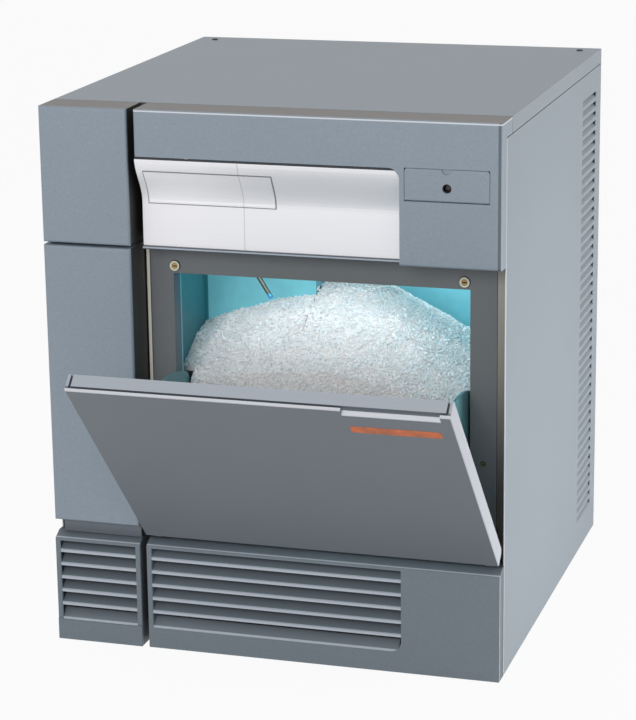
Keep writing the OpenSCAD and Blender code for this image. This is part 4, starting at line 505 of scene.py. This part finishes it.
class ICEMACHINE_OT_front(bpy.types.Operator):
    """Finish the moulded front, the trim plate and the control flap"""

    bl_idname = "icemachine.front"
    bl_label = "Front mouldings"
    bl_options = {"REGISTER", "UNDO"}

    # Bands on the mouldings, measured in from the front, the top or the side: dust along the top, a painted glint,
    # painted shade at the right corner, in the channel, at the neck and towards the slats' backs, and painted
    # highlights on the slats' front edges
    edge_depth = 4 * MM
    top_skin = 0.5 * MM
    glint_band = (2.0 * MM, 0.7 * MM)
    corner_shade_band = (4.2 * MM, 1.2 * MM)
    channel_shade_skin = 0.6 * MM
    neck_height = 15 * MM
    neck_fade = 12 * MM
    slat_front = 0.6 * MM
    slat_edge = 2.4 * MM
    slat_depth = 15 * MM
    dust_colour = linear(112, 108, 106)
    glint_colour = linear(214, 219, 226)
    corner_shade_colour = linear(92, 102, 110)
    channel_shade_colour = linear(46, 45, 45)
    recess_shade_colour = linear(56, 62, 68)
    slat_highlight_colour = linear(182, 191, 201)

    # Trim plate: its blank frame, the steps of its lip, and the place of its seam along its length
    blank_x = 7.5 * MM
    blank_drop = 15.5 * MM
    blank_width = 141 * MM
    blank_height = 37 * MM
    line_width = 0.6 * MM
    line_strength = 0.85
    top_line = 2.2 * MM
    lip_steps = (0.9 * MM, 2.6 * MM, 3.6 * MM)
    seam_share = 0.395
    # The groove above the lip is dark; the gap below it carries painted shade
    lip_groove_and_shade_colour = linear(70, 76, 84)
    lip_glint_colour = linear(172, 182, 194)
    line_colour = linear(98, 100, 106)
    top_line_colour = linear(48, 54, 60)

    def execute(self, context):
        finish = context.scene.ice_cabinet
        paint = {"grain": finish.grain, "mottle": 0.12, "roughness": 0.46, "bump": 0.16}
        behind = CABINET_FRONT + self.edge_depth
        dust = (lambda s: s.within("Z", CABINET_TOP - self.top_skin) * s.within("Y", behind), self.dust_colour)
        dress(grained_paint("front_moulding", finish.front_colour, **paint,
                            marks=[dust, *self.fascia_marks(behind)]), "front_fascia", "control_flap")
        dress(grained_paint("left_moulding", finish.front_colour, **paint,
                            marks=[dust, *self.left_marks(behind)]), "left_upper_panel", "left_middle_panel")
        # The grille panels carry painted shade in their darker colour
        dress(grained_paint("lower_moulding", finish.lower_shaded_colour, **paint,
                            marks=self.slat_marks()), "left_grille", "lower_grille")
        self.trim(finish)
        soften(finish.edge_round, "front_fascia", "control_flap", "left_upper_panel", "left_middle_panel",
               "left_grille", "lower_grille")
        return {"FINISHED"}

    def fascia_marks(self, behind):
        """Painted shade on the rounded corner at the right and a painted glint along the top."""
        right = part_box("front_fascia")[1].x
        corner = [right - inset for inset in self.corner_shade_band]
        glint = [CABINET_TOP - drop for drop in self.glint_band]
        return [(lambda s: s.within("X", *corner) * s.within("Y", high=behind), self.corner_shade_colour),
                (lambda s: s.within("Z", *glint), self.glint_colour)]

    def left_marks(self, behind):
        """Painted shade on the wall of the channel beside the fascia, and on the neck above the grille."""
        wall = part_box("left_upper_panel")[1].x - self.channel_shade_skin
        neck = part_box("left_middle_panel")[0].z + self.neck_height
        return [(lambda s: s.within("X", wall) * s.within("Y", behind), self.channel_shade_colour),
                (lambda s: s.fade("Z", neck - self.neck_fade, neck, low=0.8, high=0.5) * s.within("Z", high=neck),
                 self.recess_shade_colour)]

    def slat_marks(self):
        """Painted highlights on the slats' front edges, and painted shade that darkens them towards their backs.
        """
        front, edge, rear = (CABINET_FRONT + depth for depth in (self.slat_front, self.slat_edge, self.slat_depth))
        return [(lambda s: s.within("Y", front, edge), self.slat_highlight_colour),
                (lambda s: s.fade("Y", edge, rear, high=0.6), self.recess_shade_colour)]

    def trim(self, finish):
        """The plate with its stepped lip, dark in the groove above it and painted shade in the gap below it, and
        the outline of its blank frame.
        """
        low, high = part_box("trim_plate")
        left, top = low.x + self.blank_x, high.z - self.blank_drop
        lip, glint, groove = (low.z + step for step in self.lip_steps)

        def outline(s):
            """The thin line round the blank frame."""
            outer, inner = (s.within("X", left + inset, left + self.blank_width - inset)
                            * s.within("Z", top - self.blank_height + inset, top - inset)
                            for inset in (-self.line_width, self.line_width))
            return (outer - inner) * self.line_strength

        marks = [(lambda s: s.within("Z", high=lip), self.lip_groove_and_shade_colour),
                 (lambda s: s.within("Z", lip, glint), self.lip_glint_colour),
                 (lambda s: s.within("Z", glint, groove), self.lip_groove_and_shade_colour),
                 (outline, self.line_colour),
                 (lambda s: s.within("Z", high.z - self.top_line), self.top_line_colour)]
        seam_x = low.x + (high.x - low.x) * self.seam_share
        dress(brushed_trim("bright_plate", finish.trim_colour, seam_x, marks), "trim_plate")


class ICEMACHINE_OT_door(bpy.types.Operator):
    """Finish the tilting door and lay the stripe on it"""

    bl_idname = "icemachine.door"
    bl_label = "Tilting door"
    bl_options = {"REGISTER", "UNDO"}

    # Bands along the door's top and right end, where light is painted: a lit top strip and highlights on the lip
    # and the end
    door_gap = 2.5 * MM
    skin = 3 * MM
    groove = 5.5 * MM
    step_length = 109 * MM
    step_drop = 5 * MM
    bead_height = 1.4 * MM
    strip_height = 0.6 * MM
    end_width = 0.8 * MM
    top_strip_light_colour = linear(168, 175, 184)
    bead_highlight_colour = linear(208, 211, 217)
    end_highlight_colour = linear(190, 194, 202)

    # Stripe, placed from the door's right end and the fascia's foot
    stripe_length = 99 * MM
    stripe_height = 11.5 * MM
    stripe_thick = 0.25 * MM
    stripe_sink = 0.05 * MM
    stripe_from_right = 10 * MM
    stripe_below_top = 37 * MM
    end_bulge = 0.35
    end_steps = 8

    def execute(self, context):
        finish = context.scene.ice_cabinet
        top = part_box("front_fascia")[0].z - self.door_gap
        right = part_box("door_panel")[1].x

        def bead(s):
            """Painted highlight on the front lip, which steps down at the grip."""
            depth, height = s.closed_door()
            lowered = s.within("X", right - self.step_length, right - 2 * self.groove)
            edge = top - self.bead_height - lowered * (self.step_drop + self.skin)
            return (height > edge) * (depth < CABINET_FRONT + self.skin)

        def strip(s):
            """Painted light on the strip behind the groove, which faces up."""
            depth, height = s.closed_door()
            return (height > top - self.strip_height) * (depth > CABINET_FRONT + self.groove)

        # Painted light: the lit top strip, the highlight on the front lip and the highlight on the right end
        marks = [(strip, self.top_strip_light_colour), (bead, self.bead_highlight_colour),
                 (lambda s: s.within("X", right - self.end_width), self.end_highlight_colour)]
        # The door's paint is painted darker as shade
        dress(grained_paint("door_paint", finish.door_shaded_colour, finish.grain, mottle=0.06, roughness=0.44, bump=0.10,
                            marks=marks), "door_panel")
        soften(finish.edge_round, "door_panel")
        stripe = self.stripe(finish.stripe_colour)
        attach(stripe, "door")
        return {"FINISHED"}

    def stripe(self, colour):
        """A thin strip with bowed ends, drawn on the closed door and swung open with it."""
        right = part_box("door_panel")[1].x - self.stripe_from_right
        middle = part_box("front_fascia")[0].z - self.stripe_below_top
        radius = self.stripe_height / 2
        outline = []
        for centre_x, start in ((right - radius, -90), (right - self.stripe_length + radius, 90)):
            for step in range(self.end_steps + 1):
                angle = math.radians(start + step * 180 / self.end_steps)
                outline.append((centre_x + radius * self.end_bulge * math.cos(angle),
                                middle + radius * math.sin(angle)))
        bm = bmesh.new()
        rear = CABINET_FRONT + self.stripe_sink
        face = bm.faces.new([bm.verts.new((x, rear, z)) for x, z in outline])
        grown = bmesh.ops.extrude_face_region(bm, geom=[face])
        bmesh.ops.translate(bm, vec=(0, -self.stripe_thick, 0),
                            verts=[v for v in grown["geom"] if isinstance(v, bmesh.types.BMVert)])
        bmesh.ops.recalc_face_normals(bm, faces=bm.faces)
        bm.transform(Matrix.Translation(DOOR_HINGE) @ Matrix.Rotation(DOOR_ANGLE, 4, "X")
                     @ Matrix.Translation(-DOOR_HINGE))
        lacquer = smooth_plastic("stripe_lacquer", colour, roughness=0.4, mottle=0.3, scale=90.0)
        return piece("door_stripe", mesh_from(bm, "door_stripe"), lacquer)


class ICEMACHINE_OT_bin(bpy.types.Operator):
    """Finish the bin, its frame and the door's inner liner"""

    bl_idname = "icemachine.bin"
    bl_label = "Ice bin"
    bl_options = {"REGISTER", "UNDO"}

    # Bands on the liner's left wall, which is painted shade, on the frame round the mouth, and on its washers,
    # screws and probe
    left_wall_shade_band = 6 * MM
    reveal_depth = 3.2 * MM
    brow_depth = 9 * MM
    left_band = 4.4 * MM
    left_line = 3.4 * MM
    rim_width = 0.8 * MM
    slot_depth = 0.75 * MM
    probe_tip = 6 * MM
    frame_grain = 700.0
    left_wall_shade_colour = linear(52, 122, 132)
    reveal_colour = linear(104, 118, 128)
    brow_colour = linear(56, 60, 63)
    left_band_colour = linear(66, 64, 62)
    left_line_colour = linear(236, 229, 216)
    washer_colour = linear(232, 228, 210)
    rim_colour = linear(70, 70, 68)
    brass_colour = linear(170, 146, 100)
    slot_colour = linear(40, 34, 26)
    probe_colour = linear(112, 110, 102)
    tip_colour = linear(96, 178, 236)
    foam_colour = linear(222, 208, 160)
    spout_colour = linear(222, 224, 222)

    def execute(self, context):
        finish = context.scene.ice_bin
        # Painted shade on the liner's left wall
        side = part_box("bin_liner")[0].x + self.left_wall_shade_band
        wall = [(lambda s: s.within("X", high=side), self.left_wall_shade_colour)]
        dress(smooth_plastic("teal_liner", finish.liner_colour, roughness=0.34, marks=wall), "bin_liner")
        dress(smooth_plastic("teal_door_liner", finish.cheek_colour, roughness=0.38), "door_liner")
        self.mouth_frame(finish.bezel_colour)
        self.fixings()
        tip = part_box("bin_probe")[0].z + self.probe_tip
        blue = [(lambda s: s.within("Z", high=tip), self.tip_colour)]
        dress(brushed_sheet("probe_tube", self.probe_colour, roughness=0.4, stretch=UPRIGHT, marks=blue),
              "bin_probe")
        dress(foam_skin("bin_foam", self.foam_colour), "bin_insulation", "freezer_jacket")
        dress(smooth_plastic("spout_plastic", self.spout_colour, roughness=0.42), "ice_spout")
        return {"FINISHED"}

    def mouth_frame(self, colour):
        """The frame round the mouth: cooler in its reveal, shaded under the fascia, with a pale left edge."""
        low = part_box("bin_bezel")[0]
        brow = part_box("front_fascia")[0].z
        marks = [(lambda s: s.within("Y", low.y + self.reveal_depth), self.reveal_colour),
                 (lambda s: s.fade("Z", brow - self.brow_depth, brow, high=0.8), self.brow_colour),
                 (lambda s: s.within("X", high=low.x + self.left_band), self.left_band_colour),
                 (lambda s: s.within("X", high=low.x + self.left_line), self.left_line_colour)]
        dress(grained_paint("bin_frame", colour, self.frame_grain, mottle=0.08, roughness=0.5, bump=0.12,
                            marks=marks), "bin_bezel")

    def fixings(self):
        """Pale cup washers with a dark rim, and brass screws with dark slots."""
        low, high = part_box("bezel_cup_washers")
        middle, radius = (low + high) / 2, (high.z - low.z) / 2
        apart = (high.x - low.x) / 2 - radius

        def rim(s):
            """The outer ring of both washers."""
            across = abs(s.axis("X") - middle.x) - apart
            up = s.axis("Z") - middle.z
            return (across * across + up * up) > (radius - self.rim_width) ** 2

        dress(smooth_plastic("cream_washer", self.washer_colour, roughness=0.4, marks=[(rim, self.rim_colour)]),
              "bezel_cup_washers")
        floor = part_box("bezel_screws")[0].y + self.slot_depth
        slots = [(lambda s: s.within("Y", floor), self.slot_colour)]
        dress(brushed_sheet("brass_screw", self.brass_colour, roughness=0.35, stretch=EVEN, marks=slots),
              "bezel_screws")


class ICEMACHINE_OT_ice(bpy.types.Operator):
    """Cover the heap with loose flakes of ice"""

    bl_idname = "icemachine.ice"
    bl_label = "Flake ice"
    bl_options = {"REGISTER", "UNDO"}

    # Where flakes lie: a steep face has a normal that rises or faces forward less than this,
    # and the front has flakes from a height of front_low up
    steepest = 0.5
    sideways = 0.6
    front_low = 0.24
    ray_start = 0.05
    front_reach = 2 * MM
    side_sink = MM

    # Shape of a flake, in shares of its size, and how it lies
    steep_size = 1.6
    crease_size = 2.6
    reaches = ((0.6, 1.4), (0.4, 1.0), (0.15, 0.4))
    wobble = (0.7, 1.1)
    lift = 0.6
    lean = 0.4
    upturn = Vector((0.0, 0.0, 1.0))
    front_upturn = Vector((0.0, 0.0, 0.9))

    hollow_colour = linear(236, 236, 239)
    # Colour of the flakes by the side walls: partly wetter ice, partly painted shade
    edge_colour = linear(158, 186, 194)

    def execute(self, context):
        finish = context.scene.ice_bin
        self.dice = random.Random(finish.seed)
        bm = bmesh.new()
        bm.from_mesh(NODES["ice_heap"].data)
        heap = BVHTree.FromBMesh(bm)
        low, high = self.low, self.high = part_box("ice_heap")
        front_x = [v.co.x for v in bm.verts if v.co.y < low.y + MM]
        self.throat = (min(front_x), max(front_x))
        for x, y in self.scatter((low.x, high.x), (low.y, high.y), finish.flake_spacing):
            spot, normal, *_ = heap.ray_cast(Vector((x, y, high.z + self.ray_start)), Vector((0, 0, -1)))
            if spot and (normal.z >= self.steepest or self.in_throat(spot)):
                self.flake(bm, spot, (normal + self.upturn).normalized(), finish.flake_size * self.swell(normal))
        for x, z in self.scatter(self.throat, (self.front_low, high.z), finish.flake_spacing):
            spot, normal, *_ = heap.ray_cast(Vector((x, low.y - self.ray_start, z)), Vector((0, 1, 0)))
            if spot and normal.y < -self.steepest:
                self.flake(bm, spot, (normal + self.front_upturn).normalized(), finish.flake_size)
        mesh = mesh_from(bm, "flake_ice")
        mesh.materials.clear()
        ice = piece("flake_ice", mesh, flake_ice("wet_flakes", finish.ice_colour, self.hollow_colour,
                                                 self.edge_colour, walls=(low.x, high.x)))
        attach(ice, "cabinet")
        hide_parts("ice_heap")
        return {"FINISHED"}

    def scatter(self, across, along, step):
        """Spots in a jittered grid."""
        for row in range(int((along[1] - along[0]) / step)):
            for column in range(int((across[1] - across[0]) / step)):
                yield (across[0] + (column + self.dice.random()) * step,
                       along[0] + (row + self.dice.random()) * step)

    def in_throat(self, spot):
        """Whether a spot lies between the door's cheeks."""
        return self.throat[0] <= spot.x <= self.throat[1]

    def swell(self, normal):
        """How much larger flakes are where the heap is steep, most of all in its crease."""
        if normal.z >= self.steepest:
            return 1.0
        return self.crease_size if abs(normal.x) > self.sideways else self.steep_size

    def inside(self, point, spot):
        """Keeps a corner within the heap's box and out of the way of the door's cheeks."""
        low, high = self.low, self.high
        left, right = self.throat
        if self.in_throat(spot):
            x, z = min(max(point.x, left), right), point.z
        else:
            x, z = min(max(point.x, low.x), high.x), max(point.z, spot.z - self.side_sink)
        return Vector((x, min(max(point.y, low.y - self.front_reach), high.y), z))

    def flake(self, bm, spot, normal, size):
        """A small flat crystal lying loosely on the heap."""
        dice = self.dice
        lean = Euler((dice.gauss(0, self.lean), dice.gauss(0, self.lean), dice.uniform(0, math.tau))).to_matrix()
        turn = normal.to_track_quat("Z", "Y").to_matrix() @ lean
        centre = spot + normal * dice.uniform(0.0, self.lift) * size
        reach = [size * dice.uniform(*share) for share in self.reaches]
        corners = []
        for axis in range(3):
            for side in (-1, 1):
                local = Vector((0.0, 0.0, 0.0))
                local[axis] = side * reach[axis] * dice.uniform(*self.wobble)
                corners.append(bm.verts.new(self.inside(centre + turn @ local, spot)))
        left, right, near, far, under, over = corners
        ring = (right, far, left, near)
        for k in range(4):
            bm.faces.new((ring[k], ring[(k + 1) % 4], over))
            bm.faces.new((ring[(k + 1) % 4], ring[k], under))


class ICEMACHINE_OT_controls(bpy.types.Operator):
    """Finish the switch, the pilot lamp and the hinges"""

    bl_idname = "icemachine.controls"
    bl_label = "Controls and hinges"
    bl_options = {"REGISTER", "UNDO"}

    switch_colour = linear(52, 54, 57)
    rocker_colour = linear(36, 37, 39)
    lens_colour = linear(58, 44, 36)
    hinge_colour = linear(172, 174, 176)

    def execute(self, context):
        dress(smooth_plastic("switch_black", self.switch_colour, roughness=0.45),
              "switch_panel", "switch_housing")
        dress(smooth_plastic("rocker_black", self.rocker_colour, roughness=0.3), "switch_rocker")
        dress(lamp_lens("lamp_glass", self.lens_colour), "pilot_lamp")
        dress(brushed_sheet("hinge_zinc", self.hinge_colour, roughness=0.38, stretch=LENGTHWISE),
              "hinge_brackets", "hinge_pins")
        return {"FINISHED"}


class ICEMACHINE_OT_machinery(bpy.types.Operator):
    """Finish the freezer, the cooling set, the water set and the base"""

    bl_idname = "icemachine.machinery"
    bl_label = "Machinery"
    bl_options = {"REGISTER", "UNDO"}

    # Finish, colour, roughness and the nodes that have it
    metals = (
        ("zinc_sheet", linear(176, 178, 180), 0.42,
         ("base_tray", "foot_nuts", "bin_supports", "control_box", "freezer_stand")),
        ("stainless", linear(196, 198, 200), 0.3, ("freezer_barrel", "auger", "upper_bearing")),
        ("copper", linear(196, 128, 92), 0.34,
         ("condenser_coil", "discharge_line", "suction_line", "liquid_line", "filter_drier", "evaporator_coil")),
        ("fin_aluminium", linear(200, 202, 204), 0.4, ("condenser_fins", "fan_blade")),
        ("inlet_brass", linear(196, 160, 96), 0.32, ("water_inlet",)),
    )
    plastics = (
        ("black_plastic", linear(44, 46, 49), 0.5, ("fan_shroud", "terminal_cover", "cable_gland")),
        ("black_rubber", linear(32, 32, 33), 0.75, ("compressor_grommets",)),
        ("tank_plastic", linear(226, 227, 224), 0.45, ("float_tank",)),
        ("hose_rubber", linear(166, 168, 171), 0.55, ("feed_hose", "drain_hose")),
        ("float_plastic", linear(216, 122, 48), 0.45, ("float_arm",)),
    )
    castings = (
        ("black_enamel", linear(42, 44, 47), ("compressor", "fan_motor")),
        ("grey_casting", linear(98, 104, 110), ("gear_case", "drive_motor")),
    )

    def execute(self, context):
        for name, colour, roughness, nodes in self.metals:
            dress(brushed_sheet(name, colour, roughness, UPRIGHT), *nodes)
        for name, colour, roughness, nodes in self.plastics:
            dress(smooth_plastic(name, colour, roughness), *nodes)
        for name, colour, nodes in self.castings:
            dress(cast_paint(name, colour), *nodes)
        return {"FINISHED"}


class ICEMACHINE_OT_stage(bpy.types.Operator):
    """Set up the camera, the floor and the lamps"""

    bl_idname = "icemachine.stage"
    bl_label = "Studio"
    bl_options = {"REGISTER", "UNDO"}

    sensor_width = 36.0
    white = (1.0, 1.0, 1.0)

    # Large lamps: place and size; the side lamp looks straight at the side
    middle = Vector((0.0, 0.0, 0.3))
    key_place, key_size = (-0.1, -3.4, 1.6), (1.6, 1.6)
    top_place, top_size = (0.3, 0.3, 3.0), (2.0, 2.0)
    side_place, side_aim, side_size = (1.15, -0.05, 0.1), Vector((0.25, 0.0, 0.1)), (0.5, 0.5)

    # Two small lamps under the bin's ceiling, behind its lip and further back at the right
    lip_in = 10 * MM
    lip_right = 5 * MM
    lip_down = 9 * MM
    rear_in = 85 * MM
    rear_back = 20 * MM
    lip_size, rear_size = (0.29, 0.012), (0.12, 0.012)
    rear_share = 0.8
    bin_aim = Vector((0.0, 0.3, -0.06))

    # Floor that bends up into a backdrop; its plain white share is what the camera sees
    floor_reach = 6.0
    wall_y = 4.0
    wall_height = 5.0
    bend_radius = 1.2
    bend_steps = 10
    white_share = 0.93

    def execute(self, context):
        scene = context.scene
        studio = scene.ice_studio
        scene.view_settings.view_transform = "Standard"
        self.camera(scene, studio)
        self.floor(studio.floor_colour)
        self.world(scene, studio.sky)
        self.lamp("key_lamp", self.key_place, self.middle, self.key_size, studio.key_power)
        self.lamp("top_lamp", self.top_place, self.middle, self.top_size, studio.top_power)
        self.lamp("side_lamp", self.side_place, self.side_aim, self.side_size, studio.side_power)
        low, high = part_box("bin_liner")
        lip = Vector(((low.x + high.x) / 2 + self.lip_right, low.y + self.lip_in, high.z - self.lip_down))
        rear = Vector((high.x - self.rear_in, (low.y + high.y) / 2 + self.rear_back, lip.z))
        self.lamp("bin_lamp", lip, lip + self.bin_aim, self.lip_size, studio.bin_power)
        self.lamp("rear_lamp", rear, rear + self.bin_aim, self.rear_size, studio.bin_power * self.rear_share)
        return {"FINISHED"}

    def camera(self, scene, studio):
        """A camera at the photograph's viewing angle."""
        a, e = studio.azimuth, studio.elevation
        back = Vector((math.sin(a) * math.cos(e), -math.cos(a) * math.cos(e), math.sin(e)))
        side = Vector((math.cos(a), math.sin(a), 0.0))
        up = back.cross(side)
        c, s = math.cos(studio.roll), math.sin(studio.roll)
        axes = Matrix((c * side + s * up, c * up - s * side, back)).transposed()
        data = bpy.data.cameras.new("photo_camera")
        data.sensor_width = self.sensor_width
        data.lens = studio.focal_length
        camera = bpy.data.objects.new("photo_camera", data)
        camera.matrix_world = Matrix.Translation(studio.position) @ axes.to_4x4()
        scene.collection.objects.link(camera)
        scene.camera = camera

    def floor(self, colour):
        """A pale sheet of paper that keeps the object's shadow and otherwise shows as white."""
        profile = [(-self.floor_reach, 0.0)]
        for step in range(self.bend_steps + 1):
            angle = math.pi / 2 * step / self.bend_steps
            profile.append((self.wall_y - self.bend_radius + self.bend_radius * math.sin(angle),
                            self.bend_radius - self.bend_radius * math.cos(angle)))
        profile.append((self.wall_y, self.wall_height))
        bm = bmesh.new()
        near, far = ([bm.verts.new((x, y, z)) for y, z in profile] for x in (-self.floor_reach, self.floor_reach))
        for k in range(len(profile) - 1):
            bm.faces.new((near[k], far[k], far[k + 1], near[k + 1]))
        mesh = mesh_from(bm, "studio_floor")
        s = Surface("studio_paper")
        cloud = s.noise(scale=3.0)
        s.set(base_color=s.mix(s.spread(cloud, low=0.0, high=0.2), colour, shade(colour, 0.97)), roughness=0.9)
        white = s.node("ShaderNodeEmission", None, {"Color": self.white, "Strength": 1.0})
        both = s.node("ShaderNodeMixShader", None,
                      {0: self.shown(s) * self.white_share, 1: Field(s, s.shader.outputs[0]), 2: white})
        s.feed(s.output.inputs[0], both)
        piece("studio_floor", mesh, s.material)

    def shown(self, s):
        """1 for the rays that show the backdrop: seen directly, in a reflection or through glass."""
        camera, glossy, through = (s.node("ShaderNodeLightPath", out=f"Is {kind} Ray")
                                   for kind in ("Camera", "Glossy", "Transmission"))
        either = s.node("ShaderNodeMath", {"operation": "MAXIMUM"}, {0: camera, 1: glossy})
        return s.node("ShaderNodeMath", {"operation": "MAXIMUM"}, {0: either, 1: through})

    def world(self, scene, sky):
        """Even light all round, which itself shows as white."""
        world = bpy.data.worlds.new("studio_world")
        scene.world = world
        world.use_nodes = True
        s = Surface.on_tree(world.node_tree)
        soft, white = (s.node("ShaderNodeBackground", None, {"Color": self.white, "Strength": strength})
                       for strength in (sky, 1.0))
        mixed = s.node("ShaderNodeMixShader", None, {0: self.shown(s), 1: soft, 2: white})
        s.node("ShaderNodeOutputWorld", None, {0: mixed}, out=None)

    def lamp(self, name, place, target, size, power):
        """A rectangular lamp that looks at a target."""
        data = bpy.data.lights.new(name, "AREA")
        data.energy = power
        data.shape = "RECTANGLE"
        data.size, data.size_y = size
        lamp = bpy.data.objects.new(name, data)
        lamp.location = place
        lamp.rotation_euler = (target - Vector(place)).to_track_quat("-Z", "Y").to_euler()
        bpy.context.scene.collection.objects.link(lamp)


GROUPS = {"ice_cabinet": CabinetFinish, "ice_bin": BinFinish, "ice_studio": StudioFinish}
OPERATORS = (ICEMACHINE_OT_cabinet, ICEMACHINE_OT_front, ICEMACHINE_OT_door, ICEMACHINE_OT_bin, ICEMACHINE_OT_ice,
             ICEMACHINE_OT_controls, ICEMACHINE_OT_machinery, ICEMACHINE_OT_stage)


class ICEMACHINE_PT_sidebar(bpy.types.Panel):
    """Lists the machine's pieces and their settings"""

    bl_idname = "ICEMACHINE_PT_sidebar"
    bl_label = "Flake Ice Machine"
    bl_space_type = "VIEW_3D"
    bl_region_type = "UI"
    bl_category = "Ice Machine"

    def draw(self, context):
        for operator in OPERATORS:
            self.layout.operator(operator.bl_idname)
        for place, group in GROUPS.items():
            box = self.layout.box()
            for name in group.__annotations__:
                box.prop(getattr(context.scene, place), name)


CLASSES = (*GROUPS.values(), *OPERATORS, ICEMACHINE_PT_sidebar)


def register():
    """Registers the classes and hangs the settings on the scene."""
    for cls in CLASSES:
        bpy.utils.register_class(cls)
    for name, group in GROUPS.items():
        setattr(bpy.types.Scene, name, PointerProperty(type=group))


def unregister():
    """Takes the settings and the classes away again."""
    for name in GROUPS:
        delattr(bpy.types.Scene, name)
    for cls in reversed(CLASSES):
        bpy.utils.unregister_class(cls)


def main():
    """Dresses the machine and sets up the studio."""
    register()
    for operator in OPERATORS:
        category, name = operator.bl_idname.split(".")
        getattr(getattr(bpy.ops, category), name)()
    bpy.context.view_layer.update()


if __name__ == "__main__":
    main()
